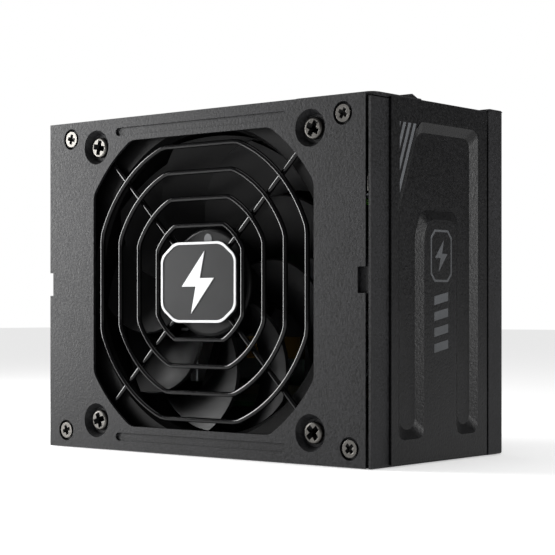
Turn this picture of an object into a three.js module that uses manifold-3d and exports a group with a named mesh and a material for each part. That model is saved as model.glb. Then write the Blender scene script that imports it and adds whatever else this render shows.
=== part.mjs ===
// Small computer power supply with a slim fan, a mains inlet and modular output sockets.
// Millimetres. X runs to the right seen from the fan side, Y from the fan cover to the back cover,
// Z up from the connector end to the mains end. The origin is the middle of the bottom face.

import * as THREE from 'three';
import { mergeVertices } from 'three/addons/utils/BufferGeometryUtils.js';
import Module from 'manifold-3d';

// ---------------------------------------------------------------- envelope and sheet metal
const width = 125;
const depth = 63.5;
const height = 100;
const chassisSheet = 0.8;
const coverSheet = 0.9;
const skinSheet = 0.6;
const skinGap = 0.2;
const gap = 0.3;
const seat = 0.05;

const front = -depth / 2;
const back = depth / 2;
const chassisHalf = width / 2 - skinSheet - skinGap;
const endTop = height - skinSheet - skinGap;
const endUnder = endTop - chassisSheet;
const wallInside = chassisHalf - chassisSheet;
const behindCover = front + coverSheet + gap;
const backInside = back - chassisSheet;

// ---------------------------------------------------------------- fan cover
const fanHeight = height / 2 - skinGap;
const coverRightStep = 1.85;
const openingSquare = 85;
const openingRadius = 50.2;
const notchDepth = 2.6;
const notchHeight = 7;
const grooveHalfLength = 33;
const grooveHeight = 2.4;
const grooveDepth = 0.35;
const grooveInset = 4.1;
const coverScrewInset = 5;
const topScrewX = chassisHalf - 9.4;
const bottomScrewX = chassisHalf - 7.2;
const countersinkRadius = 2.95;
const coverScrewHead = 2.65;
const coverScrewShank = 1.4;
const coverScrewLength = 4;
const coverScrewCone = 1.1;
const coverRecessReach = 1.5;
const coverRecessHalf = 0.35;
const coverRecessDepth = 0.6;
const screwSides = 12;
const tabHalfHeight = 4;
const tabReach = 3.4;
const notchTabHalf = 6;
const dimpleRadius = 5.15;
const dimpleFloorRadius = 3.9;
const dimpleDepth = 2.3;
const dimpleWall = 0.7;

// ---------------------------------------------------------------- fan and grille
const fanSize = 92;
const fanDepth = 15;
const fanFromFront = dimpleDepth + coverSheet + gap;
const fanBack = fanFromFront + fanDepth;
const fanHoleHalf = 41.25;
const fanHoleRadius = 2.15;
const fanCorner = 6;
const ductRadius = 44;
const ductWall = 1.4;
const flangeDepth = 3.2;
const bellMouth = 1.4;
const bellMouthDepth = 2.4;
const hubRadius = 16;
const hubWall = 1.6;
const hubFront = 1.2;
const hubBack = 11.8;
const hubBossWall = 1;
const hubBossBack = 3.9;
const bladeCount = 9;
const bladeTip = 1;
const bladeThickness = 1.1;
const bladeFront = 2;
const bladeBack = 11.4;
const bladeSpan = 0.62;
const bladeSweep = 0.5;
const supportFront = 12.6;
const supportRadius = hubRadius - 0.5;
const supportArm = 3;
const supportArmTurn = 20;
const bearingTubeWall = 1.2;
const bearingTubeFront = 4.4;
const bearingFront = 4.6;
const bearingBack = 12.2;
const boreFloor = 13.8;
const magnetOuter = hubRadius - hubWall - gap;
const magnetInner = magnetOuter - 1.3;
const magnetSpan = [3.6, 11.2];
const statorSpan = [4.8, 11.4];
const statorRing = 2;
const statorStemHalf = 1.6;
const statorFaceShare = 0.36;
const statorAirGap = 0.45;
const shaftRadius = 1.5;
const shaftRunning = 0.1;
const shaftSpan = [2.2, 13.2];
const bearingWall = 0.5;
const fanScrewHead = 3.05;
const fanScrewHeadHeight = 1.2;
const fanScrewDome = 0.5;
const fanRecessReach = 1.9;
const fanRecessHalf = 0.4;
const fanRecessDepth = 0.8;
const fanScrewShank = 1.8;
const fanScrewLength = 9;
const wireRadius = 0.75;
const ringDepth = 1;
const strutDepth = 2.4;
const ringRadii = [42, 34.3, 26.6, 18.9];
const ringFlatInset = 2.5;
const eyeRadius = 6.4;
const badgeWidth = 29.2;
const badgeHeight = 23.4;
const badgeThickness = 1;
const badgeCutX = 5.4;
const badgeCutZ = 4.2;

// ---------------------------------------------------------------- side panels and back cover
const panelFront = 8;
const panelBack = depth - 8.5;
const panelBottom = 0.5;
const panelTop = height - 1.3;
const channelDepth = 1.3;
const channelSlope = 2.6;
const channelFront = 11;
const channelBack = panelBack - 4.7;
const channelBottom = 6.9;
const channelTop = panelTop - 5.7;
const diagonalLow = channelTop - 23.3;
const diagonalTop = channelFront + 9.3;
const tongueFront = channelFront + 12.3;
const tongueBack = channelBack - 11.3;
const tongueTop = channelTop - 26.3;
const tongueCutLow = tongueTop - 4.9;
const tongueCutTop = tongueFront + 2.2;
const stripOverlap = 2.25;
const flangeLength = 7.6;
const flangeBevel = 1.6;
const backScrewX = width / 2 - 7.5;
const backScrewLow = 8;
const backScrewHigh = height - backScrewLow;

// ---------------------------------------------------------------- mains end
const mountHoleInset = 6;
const mountHoleX = width / 2 - mountHoleInset;
const mountHoleY = depth / 2 - mountHoleInset;
const mountHoleRadius = 1.75;
const ventPitch = 7.2;
const ventFlats = 6.1;
const earInset = 1.1;
const earLength = 28;
const earDrop = 12;
const inletX = chassisHalf - 25.4;
const inletFlangeX = 29;
const inletFlangeY = 24.7;
const inletFlangeHeight = 2.8;
const inletBodyX = 26.6;
const inletBodyY = 18;
const inletFanClearance = 0.85;
const inletFromFront = fanBack + inletFanClearance + inletBodyY / 2;
const inletLeft = inletX - inletFlangeX / 2;
const ventMargin = 7.7;
const ventCentreX = (inletLeft - chassisHalf) / 2;
const ventHalfX = (inletLeft + chassisHalf) / 2 - ventMargin;
const ventHalfY = depth / 2 - 9.75;
const inletBodyDepth = 19;
const inletWellX = 24;
const inletWellY = 16.4;
const inletWellDepth = 15.5;
const inletWellCut = 4.5;
const inletFlangeCorner = 2.5;
const neckHeight = 0.5;
const pinWidth = 2;
const pinBreadth = 4;
const pinSpacing = 7;
const pinOffset = 2;
const pinTip = 2.2;
const pinTail = 24;
const switchX = inletX + 3.3;
const switchBezelX = 10.8;
const switchBezelY = 15;
const switchFromFront = inletFromFront + inletFlangeY / 2 + 0.4 + switchBezelY / 2;
const switchBezelHeight = 1.6;
const switchBodyX = 9.8;
const switchBodyY = 14.2;
const switchBodyDepth = 14;
const switchWall = 0.6;
const switchWellDepth = 4.6;
const rockerPivot = 0.6;
const rockerTop = 4;
const rockerDip = 0.8;
const rockerBelow = 2.2;
const rockerTilt = 12;
const trunnionRadius = 0.8;
const trunnionReach = 0.3;

// ---------------------------------------------------------------- connector end
const contactPitch = 4.2;
const socketWall = 0.9;
const socketDepth = 12.6;
const socketWell = 9;
const socketRecess = 0.4;
const rowA = fanBack + 8.5;
const rowB = rowA + 15;
const sockets = [
  { name: 'board_socket_wide', columns: 9, x: -34, fromFront: rowA },
  { name: 'board_socket_narrow', columns: 5, x: 1.5, fromFront: rowA },
  { name: 'drive_socket_1', columns: 3, x: 24, fromFront: rowA },
  { name: 'drive_socket_2', columns: 3, x: 43, fromFront: rowA },
  { name: 'processor_socket_1', columns: 4, x: -36, fromFront: rowB },
  { name: 'processor_socket_2', columns: 4, x: -4, fromFront: rowB },
  { name: 'processor_socket_3', columns: 4, x: 28, fromFront: rowB },
];

// ---------------------------------------------------------------- circuit boards and components
const boardThickness = 1.6;
const mainBoardFromFront = depth - 6.5;
const componentFoot = mainBoardFromFront - gap;
const modularBoardHalf = wallInside - 4.9;
const modularBoardFront = fanBack + 1.5;
const modularBoardBack = mainBoardFromFront - 3;
const insulatorFromFront = depth - 2.9;
const insulatorThickness = 0.4;
const switchRelief = 1;
const leadRadius = 1.2;
const leadSides = 6;
const mainBoardSideGap = 2.5;
const mainBoardBottom = 18;
const mainBoardTopGap = 3;
const filmBottom = 4;
const filmTopGap = 2;

const transformerX = 0;
const transformerZ = 40;
const coreHalf = 16;
const coreThickness = 12;
const coreTall = 28;
const coreLeg = 5;
const coreYoke = 4.5;
const windingOverhang = 6.5;
const sinkThickness = 3;
const sinkSpan = [20, 58];
const sinkTall = 32;
const finPitch = 6;
const finReach = 6;
const finCount = 6;
const finThickness = 1.2;
const primarySinkX = -24;
const secondarySinkX = 21;
const bulkRadius = 15;
const bulkTall = 34;
const bulkX = -42;
const largePartDrop = 21.2;
const chokeInner = 7.6;
const chokeOuter = 16;
const chokeTall = 16;
const chokeX = 2;
const filterInner = 4.5;
const filterOuter = 11;
const filterTall = 16;
const filterX = inletX + 3.7;
const filterDrop = 37.2;
const filmBoxSide = 13;
const filmBoxX = inletX + 0.7;
const filmBoxDrop = [23.7, 17.7];
const filmBoxTall = 14;
const rectifierWallGap = 3.9;
const rectifierThickness = 4;
const rectifierSpan = [38, 58];
const rectifierTall = 20;
const standbyX = [-56, -36];
const standbyZ = [38, 56];
const standbyTall = 18;
const outputRadius = 5;
const outputTall = 20;
const outputPlaces = [[35, 26], [46, 26], [35, 38], [46, 38]];

// ---------------------------------------------------------------- materials
function finish(colour, roughness, metalness) {
  return new THREE.MeshStandardMaterial({ color: colour, roughness, metalness });
}

const coatedSteel = finish(0x2b2b2d, 0.62, 0.25);
const nickel = finish(0xb9b6b0, 0.3, 1);
const blackWire = finish(0x0d0d0e, 0.25, 0.4);
const badgePlastic = finish(0x45474b, 0.5, 0.1);
const fanPlastic = finish(0x101012, 0.35, 0);
const inletPlastic = finish(0x141415, 0.45, 0);
const rockerPlastic = finish(0x0f0f10, 0.35, 0);
const socketPlastic = finish(0x161616, 0.5, 0);
const groundSteel = finish(0x9a9c9f, 0.3, 1);
const ferrite = finish(0x2c2c2e, 0.8, 0);
const bronze = finish(0xa97b45, 0.45, 1);
const laminations = finish(0x55585c, 0.5, 0.8);
const boardLaminate = finish(0x1d4a2c, 0.5, 0);
const yellowTape = finish(0xd8a92a, 0.5, 0);
const sleeve = finish(0x1c2a44, 0.4, 0);
const copper = finish(0xb06a3a, 0.4, 0.9);
const aluminium = finish(0xa8abb0, 0.4, 0.9);
const epoxy = finish(0x1a1a1b, 0.5, 0);
const greyFilm = finish(0x8d9096, 0.5, 0);
const insulation = finish(0xc9c4b4, 0.6, 0);
const blackLead = finish(0x121212, 0.5, 0);
const earthLead = finish(0x5a8f2e, 0.5, 0);

// ---------------------------------------------------------------- solids
const wasm = await Module();
wasm.setup();

function solidOf(geometry) {
  geometry.deleteAttribute('normal');
  geometry.deleteAttribute('uv');
  const merged = mergeVertices(geometry, 1e-4);
  const corners = merged.index.array;
  const triVerts = [];
  for (let i = 0; i < corners.length; i += 3) {
    const [a, b, c] = [corners[i], corners[i + 1], corners[i + 2]];
    if (a !== b && b !== c && c !== a) triVerts.push(a, b, c);
  }
  return new wasm.Manifold(new wasm.Mesh({
    numProp: 3,
    vertProperties: new Float32Array(merged.attributes.position.array),
    triVerts: new Uint32Array(triVerts),
  }));
}

function geometryOf(solid) {
  const mesh = solid.getMesh();
  const geometry = new THREE.BufferGeometry();
  geometry.setAttribute('position', new THREE.BufferAttribute(mesh.vertProperties, 3));
  geometry.setIndex(new THREE.BufferAttribute(mesh.triVerts, 1));
  geometry.computeVertexNormals();
  return geometry;
}

function joined(solids) {
  return solids.reduce((whole, piece) => whole.add(piece));
}

function cutBy(solid, tools) {
  return tools.reduce((whole, tool) => whole.subtract(tool), solid);
}

function block([x0, x1], [y0, y1], [z0, z1]) {
  const geometry = new THREE.BoxGeometry(x1 - x0, y1 - y0, z1 - z0);
  geometry.translate((x0 + x1) / 2, (y0 + y1) / 2, (z0 + z1) / 2);
  return solidOf(geometry);
}

// A body of revolution about Y through (x, z). The profile lists [radius, y] with y rising outside.
function turned(profile, segments, x = 0, z = 0) {
  const points = profile.map(([radius, y]) => new THREE.Vector2(radius, y));
  const geometry = new THREE.LatheGeometry(points, segments);
  geometry.translate(x, 0, z);
  return solidOf(geometry);
}

function rodY(radius, [y0, y1], segments, x = 0, z = 0) {
  return turned([[0, y0], [radius, y0], [radius, y1], [0, y1]], segments, x, z);
}

function coneY([r0, y0], [r1, y1], segments, x = 0, z = 0) {
  return turned([[0, y0], [r0, y0], [r1, y1], [0, y1]], segments, x, z);
}

function ringY(inner, outer, [y0, y1], segments, x = 0, z = 0) {
  const profile = [[inner, y0], [outer, y0], [outer, y1], [inner, y1], [inner, y0]];
  return turned(profile, segments, x, z);
}

function rodZ(radius, [z0, z1], segments, x, y) {
  const geometry = new THREE.CylinderGeometry(radius, radius, z1 - z0, segments);
  geometry.rotateX(Math.PI / 2);
  geometry.translate(x, y, (z0 + z1) / 2);
  return solidOf(geometry);
}

function rodX(radius, [x0, x1], segments, y, z) {
  const geometry = new THREE.CylinderGeometry(radius, radius, x1 - x0, segments);
  geometry.rotateZ(Math.PI / 2);
  geometry.translate((x0 + x1) / 2, y, z);
  return solidOf(geometry);
}

function shapeOf(points) {
  return new THREE.Shape(points.map(([a, b]) => new THREE.Vector2(a, b)));
}

function roundedRectangle(sizeA, sizeB, radius) {
  const a = sizeA / 2 - radius;
  const b = sizeB / 2 - radius;
  const shape = new THREE.Shape();
  shape.absarc(a, b, radius, 0, Math.PI / 2);
  shape.absarc(-a, b, radius, Math.PI / 2, Math.PI);
  shape.absarc(-a, -b, radius, Math.PI, 1.5 * Math.PI);
  shape.absarc(a, -b, radius, 1.5 * Math.PI, 2 * Math.PI);
  shape.closePath();
  return shape;
}

function extruded(shape, length, curveSegments = 3) {
  return new THREE.ExtrudeGeometry(shape, { depth: length, bevelEnabled: false, curveSegments });
}

// An outline drawn in X and Z, swept along Y.
function sweptY(shape, [y0, y1], curveSegments) {
  const geometry = extruded(shape, y1 - y0, curveSegments);
  geometry.rotateX(Math.PI / 2);
  geometry.translate(0, y1, 0);
  return solidOf(geometry);
}

// An outline drawn in Y and Z, swept along X.
function sweptX(shape, [x0, x1], curveSegments) {
  const geometry = extruded(shape, x1 - x0, curveSegments);
  const turn = new THREE.Matrix4().makeBasis(
    new THREE.Vector3(0, 1, 0), new THREE.Vector3(0, 0, 1), new THREE.Vector3(1, 0, 0));
  geometry.applyMatrix4(turn);
  geometry.translate(x0, 0, 0);
  return solidOf(geometry);
}

// An outline drawn in X and Y, swept along Z.
function sweptZ(shape, [z0, z1], curveSegments) {
  const geometry = extruded(shape, z1 - z0, curveSegments);
  geometry.translate(0, 0, z0);
  return solidOf(geometry);
}

function tube(points, radius, steps, sides) {
  const curve = new THREE.CatmullRomCurve3(points.map((p) => new THREE.Vector3(...p)));
  const section = new THREE.Shape();
  section.absarc(0, 0, radius, 0, 2 * Math.PI);
  const options = { extrudePath: curve, steps, bevelEnabled: false, curveSegments: sides };
  return solidOf(new THREE.ExtrudeGeometry(section, options));
}

// ---------------------------------------------------------------- scene helpers
const powerSupply = new THREE.Group();

function group(parent, x, y, z) {
  const child = new THREE.Group();
  child.position.set(x, y, z);
  parent.add(child);
  return child;
}

function place(parent, name, solid, material, position = [0, 0, 0]) {
  const mesh = new THREE.Mesh(geometryOf(solid), material);
  mesh.name = name;
  mesh.position.set(...position);
  parent.add(mesh);
}

// ---------------------------------------------------------------- screws
function crossRecess(reach, half, recess) {
  const along = block([-reach, reach], [-1, recess], [-half, half]);
  const across = block([-half, half], [-1, recess], [-reach, reach]);
  return along.add(across);
}

// A countersunk screw with its head's face at y = 0 and its tip towards +Y.
function countersunkScrew() {
  const body = turned([[0, 0], [coverScrewHead, 0], [coverScrewShank, coverScrewCone],
    [coverScrewShank, coverScrewLength], [0, coverScrewLength]], screwSides);
  return body.subtract(crossRecess(coverRecessReach, coverRecessHalf, coverRecessDepth));
}

function fanScrew() {
  const head = fanScrewHeadHeight;
  const body = turned([[0, 0], [fanScrewHead - fanScrewDome, 0], [fanScrewHead, 0.9 * fanScrewDome],
    [fanScrewHead, head], [fanScrewShank, head], [fanScrewShank, fanScrewLength],
    [0, fanScrewLength]], screwSides);
  return body.subtract(crossRecess(fanRecessReach, fanRecessHalf, fanRecessDepth));
}

const coverScrews = [
  { name: 'cover_screw_top_left', x: -topScrewX, z: endTop - coverScrewInset },
  { name: 'cover_screw_top_right', x: topScrewX, z: endTop - coverScrewInset },
  { name: 'cover_screw_bottom_left', x: -bottomScrewX, z: coverScrewInset },
  { name: 'cover_screw_bottom_right', x: bottomScrewX, z: coverScrewInset },
];

const backScrews = [
  { name: 'back_screw_top_left', x: -backScrewX, z: backScrewHigh },
  { name: 'back_screw_top_right', x: backScrewX, z: backScrewHigh },
  { name: 'back_screw_bottom_left', x: -backScrewX, z: backScrewLow },
  { name: 'back_screw_bottom_right', x: backScrewX, z: backScrewLow },
];

const fanCorners = [
  { side: 'top_left', x: -1, z: 1 },
  { side: 'top_right', x: 1, z: 1 },
  { side: 'bottom_left', x: -1, z: -1 },
  { side: 'bottom_right', x: 1, z: -1 },
];

// ---------------------------------------------------------------- fan cover
function coverPlate() {
  const left = -chassisHalf;
  const right = chassisHalf - coverRightStep;
  const low = fanHeight - notchHeight / 2;
  const high = fanHeight + notchHeight / 2;
  return sweptY(shapeOf([
    [left, 0], [right, 0], [right, low], [right - notchDepth, low], [right - notchDepth, high],
    [right, high], [right, endTop], [left, endTop], [left, high], [left + notchDepth, high],
    [left + notchDepth, low], [left, low],
  ]), [front, front + coverSheet]);
}

function coverOpening() {
  const half = openingSquare / 2;
  const span = [front - 1, front + coverSheet + 1];
  const square = block([-half, half], span, [fanHeight - half, fanHeight + half]);
  return square.intersect(rodY(openingRadius, span, 48, 0, fanHeight));
}

function coverGroove(z) {
  const bar = roundedRectangle(2 * grooveHalfLength, grooveHeight, grooveHeight / 2 - 0.01);
  return sweptY(bar, [front - 1, front + grooveDepth], 4).translate(0, 0, z);
}

function dimpleOutside(x, z) {
  const rim = dimpleRadius + dimpleWall;
  const floor = dimpleFloorRadius + dimpleWall;
  const end = front + dimpleDepth + coverSheet;
  return coneY([rim, front + grooveDepth], [floor, end], 16, x, z);
}

function dimpleInside(x, z) {
  const bowl = coneY([dimpleRadius, front], [dimpleFloorRadius, front + dimpleDepth], 16, x, z);
  const mouth = rodY(dimpleRadius, [front - 1, front], 16, x, z);
  const hole = rodY(fanHoleRadius, [front, front + dimpleDepth + 2], 12, x, z);
  return joined([bowl, mouth, hole]);
}

function fanCover() {
  let cover = coverPlate().subtract(coverOpening());
  for (const { x, z } of fanCorners) {
    const [hx, hz] = [x * fanHoleHalf, fanHeight + z * fanHoleHalf];
    cover = cover.add(dimpleOutside(hx, hz)).subtract(dimpleInside(hx, hz));
  }
  for (const { x, z } of coverScrews) {
    const sink = coneY([countersinkRadius + 0.5, front - 0.5],
      [countersinkRadius - 1, front + coverSheet + 0.1], 12, x, z);
    cover = cover.subtract(sink);
  }
  const grooves = [coverGroove(endTop - grooveInset), coverGroove(grooveInset)];
  return cutBy(cover, grooves);
}

// ---------------------------------------------------------------- chassis
function sideWalls() {
  const rearStart = front + channelBack + gap + channelDepth / 2;
  const wallTop = endUnder - gap;
  const walls = [];
  for (const side of [-1, 1]) {
    const x = side < 0 ? [-chassisHalf, -wallInside] : [wallInside, chassisHalf];
    const start = side < 0 ? behindCover : front;
    walls.push(block(x, [start, front + panelFront + stripOverlap], [0, wallTop]));
    walls.push(block(x, [rearStart, backInside - gap], [0, wallTop]));
  }
  return walls;
}

function coverTab(x, z, [y0, y1]) {
  const low = Math.max(z - tabHalfHeight, 0);
  const high = Math.min(z + tabHalfHeight, endUnder - gap);
  const xs = x < 0 ? [-chassisHalf, x + tabReach] : [x - tabReach, chassisHalf];
  const plate = block(xs, [y0, y1], [low, high]);
  return plate.subtract(rodY(coverScrewShank + gap, [y0 - 1, y1 + 1], 10, x, z));
}

function chassisTabs() {
  const frontSpan = [behindCover, behindCover + chassisSheet];
  const backSpan = [backInside - gap - chassisSheet, backInside - gap];
  const tabs = coverScrews.map(({ x, z }) => coverTab(x, z, frontSpan));
  tabs.push(...backScrews.map(({ x, z }) => coverTab(x, z, backSpan)));
  const notchTab = [fanHeight - notchTabHalf, fanHeight + notchTabHalf];
  tabs.push(block([-chassisHalf, -chassisHalf + notchTabHalf], frontSpan, notchTab));
  tabs.push(block([chassisHalf - notchTabHalf, chassisHalf], frontSpan, notchTab));
  return tabs;
}

function socketWidth(columns) {
  return columns * contactPitch + 2 * socketWall;
}

const socketBreadth = 2 * contactPitch + 2 * socketWall;

function chassisFrame() {
  const floor = block([-chassisHalf, chassisHalf], [behindCover, backInside - gap], [0, chassisSheet]);
  const cutouts = sockets.map(({ columns, x, fromFront }) => {
    const halfX = socketWidth(columns) / 2 + gap;
    const halfY = socketBreadth / 2 + gap;
    const y = front + fromFront;
    return block([x - halfX, x + halfX], [y - halfY, y + halfY], [-1, chassisSheet + 1]);
  });
  return joined([cutBy(floor, cutouts), ...sideWalls(), ...chassisTabs()]);
}

// ---------------------------------------------------------------- mains end plate
function hexagon(x, y) {
  const radius = ventFlats / Math.sqrt(3);
  const hole = new THREE.Path();
  for (let i = 0; i < 6; i += 1) {
    const angle = Math.PI / 6 + i * Math.PI / 3;
    const point = [x + radius * Math.cos(angle), y + radius * Math.sin(angle)];
    if (i === 0) hole.moveTo(...point);
    else hole.lineTo(...point);
  }
  hole.closePath();
  return hole;
}

function ventHoles() {
  const holes = [];
  const rowPitch = ventPitch * Math.sqrt(3) / 2;
  const rows = Math.floor(ventHalfY / rowPitch);
  for (let row = -rows; row <= rows; row += 1) {
    const shift = row % 2 === 0 ? 0 : ventPitch / 2;
    const reach = Math.floor((ventHalfX - shift) / ventPitch);
    const first = row % 2 === 0 ? -reach : -reach - 1;
    for (let i = first; i <= reach; i += 1) {
      holes.push(hexagon(ventCentreX + shift + i * ventPitch, row * rowPitch));
    }
  }
  return holes;
}

function endPlate() {
  const plate = shapeOf([
    [-chassisHalf, behindCover], [chassisHalf, behindCover],
    [chassisHalf, backInside - gap], [-chassisHalf, backInside - gap],
  ]);
  plate.holes.push(...ventHoles());
  const span = [endUnder - 1, endTop + 1];
  const inletY = front + inletFromFront;
  const switchY = front + switchFromFront;
  const cuts = [
    block([inletX - inletBodyX / 2 - gap, inletX + inletBodyX / 2 + gap],
      [inletY - inletBodyY / 2 - gap, inletY + inletBodyY / 2 + gap], span),
    block([switchX - switchBodyX / 2 - seat, switchX + switchBodyX / 2 + seat],
      [switchY - switchBodyY / 2 - seat, switchY + switchBodyY / 2 + seat], span),
  ];
  for (const x of [-mountHoleX, mountHoleX]) {
    for (const y of [-mountHoleY, mountHoleY]) cuts.push(rodZ(mountHoleRadius, span, screwSides, x, y));
  }
  const ears = [-1, 1].map((side) => {
    const outer = wallInside - earInset;
    const x = side < 0 ? [-outer, -outer + chassisSheet] : [outer - chassisSheet, outer];
    return block(x, [-earLength / 2, earLength / 2], [endUnder - earDrop, endUnder + seat]);
  });
  return joined([cutBy(sweptZ(plate, [endUnder, endTop]), cuts), ...ears]);
}

// ---------------------------------------------------------------- side panels
function insetOutline(points, distance) {
  const count = points.length;
  return points.map((corner, i) => {
    const before = points[(i + count - 1) % count];
    const after = points[(i + 1) % count];
    const inward = (from, to) => {
      const length = Math.hypot(to[0] - from[0], to[1] - from[1]);
      return [-(to[1] - from[1]) / length, (to[0] - from[0]) / length];
    };
    const [n1, n2] = [inward(before, corner), inward(corner, after)];
    const scale = distance / (1 + n1[0] * n2[0] + n1[1] * n2[1]);
    return [corner[0] + scale * (n1[0] + n2[0]), corner[1] + scale * (n1[1] + n2[1])];
  });
}

// A closed solid between one outline at x0 and another with as many corners at x1 (x0 < x1).
function lofted(outlineLow, outlineHigh, x0, x1) {
  const count = outlineLow.length;
  const contour = outlineHigh.map(([a, b]) => new THREE.Vector2(a, b));
  const caps = THREE.ShapeUtils.triangulateShape(contour, []);
  const positions = [];
  for (const [y, z] of outlineLow) positions.push(x0, y, z);
  for (const [y, z] of outlineHigh) positions.push(x1, y, z);
  const index = [];
  for (const [a, b, c] of caps) {
    index.push(a, c, b);
    index.push(a + count, b + count, c + count);
  }
  for (let i = 0; i < count; i += 1) {
    const next = (i + 1) % count;
    index.push(i, next, next + count, i, next + count, i + count);
  }
  const geometry = new THREE.BufferGeometry();
  geometry.setAttribute('position', new THREE.Float32BufferAttribute(positions, 3));
  geometry.setIndex(index);
  return solidOf(geometry);
}

// The stamped channel's edge on the panel's outer face, as [y, z] going anticlockwise.
function channelEdge() {
  const at = (fromFront, z) => [front + fromFront, z];
  return [
    at(channelFront, channelBottom), at(tongueFront, channelBottom),
    at(tongueFront, tongueCutLow), at(tongueCutTop, tongueTop), at(tongueBack, tongueTop),
    at(tongueBack, channelBottom), at(channelBack, channelBottom),
    at(channelBack, channelTop), at(diagonalTop, channelTop), at(channelFront, diagonalLow),
  ];
}

function rightPanel() {
  const outer = width / 2;
  const slab = block([outer - skinSheet, outer], [front + panelFront, front + panelBack],
    [panelBottom, panelTop]);
  const edge = channelEdge();
  const floor = insetOutline(edge, channelSlope);
  const pressed = lofted(floor, edge, outer - channelDepth - skinSheet, outer - skinSheet);
  const hollow = lofted(floor, edge, outer - channelDepth, outer);
  return slab.add(pressed).subtract(hollow);
}

// ---------------------------------------------------------------- back cover
function backCover() {
  const half = width / 2;
  const start = back - flangeLength;
  const plate = block([-half, half], [backInside, back], [0, height]);
  const top = block([-half, half], [start, back], [height - skinSheet, height]);
  const sides = [
    block([-half, -half + skinSheet], [start, back], [0, height]),
    block([half - skinSheet, half], [start, back], [0, height]),
  ];
  const bevel = sweptX(shapeOf([
    [start - 1, height - flangeBevel - 1], [start + flangeBevel + 1, height + 1],
    [start - 1, height + 1],
  ]), [-half - 1, half + 1]);
  const cuts = [-mountHoleX, mountHoleX].map(
    (x) => rodZ(mountHoleRadius + gap, [height - 2, height + 1], screwSides, x, mountHoleY));
  const besideBezel = switchBezelX / 2 + gap;
  const pastBezel = front + switchFromFront + switchBezelY / 2 + gap;
  cuts.push(block([switchX - besideBezel, switchX + besideBezel], [start - 1, pastBezel],
    [endTop, height + 1]));
  for (const { x, z } of backScrews) {
    cuts.push(coneY([countersinkRadius - 1, backInside - 0.1],
      [countersinkRadius + 0.5, back + 0.5], 12, x, z));
  }
  return cutBy(joined([plate, top, ...sides]), [bevel, ...cuts]);
}

// ---------------------------------------------------------------- grille and badge
class RingWire extends THREE.Curve {
  constructor(radius, flat) {
    super();
    this.radius = radius;
    this.flat = flat;
  }

  getPoint(t, target = new THREE.Vector3()) {
    const angle = 2 * Math.PI * t;
    const [c, s] = [Math.cos(angle), Math.sin(angle)];
    const reach = Math.min(this.radius, this.flat / Math.max(Math.abs(c), Math.abs(s)));
    return target.set(reach * c, 0, reach * s);
  }
}

function wireRing(radius, flat, steps, x, y, z) {
  const path = new RingWire(radius, flat);
  const geometry = new THREE.TubeGeometry(path, steps, wireRadius, 6, true);
  geometry.translate(x, y, z);
  return solidOf(geometry);
}

function wireGrille() {
  const rings = ringRadii.map(
    (radius) => wireRing(radius, radius - ringFlatInset, 24, 0, front + ringDepth, fanHeight));
  const eyes = fanCorners.map(({ x, z }) => wireRing(eyeRadius, eyeRadius, 10,
    x * fanHoleHalf, front + strutDepth, fanHeight + z * fanHoleHalf));
  const reach = fanHoleHalf - eyeRadius / Math.SQRT2;
  const struts = [-1, 1].map((side) => tube([
    [-reach, front + strutDepth, fanHeight - side * reach],
    [reach, front + strutDepth, fanHeight + side * reach],
  ], wireRadius, 1, 6));
  return joined([...rings, ...eyes, ...struts]);
}

function grilleBadge() {
  const [a, b] = [badgeWidth / 2, badgeHeight / 2];
  const [cutA, cutB] = [badgeCutX, badgeCutZ];
  const plate = shapeOf([
    [a, -b + cutB], [a, b - cutB], [a - cutA, b], [-a + cutA, b],
    [-a, b - cutB], [-a, -b + cutB], [-a + cutA, -b], [a - cutA, -b],
  ]);
  const y1 = front + strutDepth - wireRadius - gap;
  return sweptY(plate, [y1 - badgeThickness, y1]).translate(0, 0, fanHeight);
}

// ---------------------------------------------------------------- fan
function fanFlange(span) {
  const square = roundedRectangle(fanSize, fanSize, fanCorner);
  return sweptY(square, span, 3).subtract(rodY(ductRadius, [span[0] - 1, span[1] + 1], 36));
}

function fanFrame() {
  const duct = ringY(ductRadius, ductRadius + ductWall, [0, fanDepth], 36);
  const flanges = [fanFlange([0, flangeDepth]), fanFlange([fanDepth - flangeDepth, fanDepth])];
  const arms = [0, 1, 2, 3].map((i) => {
    const arm = block([hubRadius - 2, ductRadius + ductWall / 2], [supportFront, fanDepth],
      [-supportArm / 2, supportArm / 2]);
    return arm.rotate([0, supportArmTurn + 90 * i, 0]);
  });
  const hub = rodY(supportRadius, [supportFront, fanDepth], 24);
  const bore = shaftRadius + shaftRunning + bearingWall + gap;
  const tubeWall = rodY(bore + bearingTubeWall, [bearingTubeFront, supportFront + 0.1], 16);
  const body = joined([duct, ...flanges, ...arms, hub, tubeWall]);
  const flare = bellMouth * (bellMouthDepth + 1) / bellMouthDepth;
  const mouth = coneY([ductRadius + flare, -1], [ductRadius, bellMouthDepth], 36);
  const holes = fanCorners.map(({ x, z }) => rodY(fanHoleRadius, [-1, fanDepth + 1], 12,
    x * fanHoleHalf, z * fanHoleHalf));
  return cutBy(body, [mouth, ...holes, rodY(bore, [bearingTubeFront - 1, boreFloor], 16)]);
}

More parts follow.
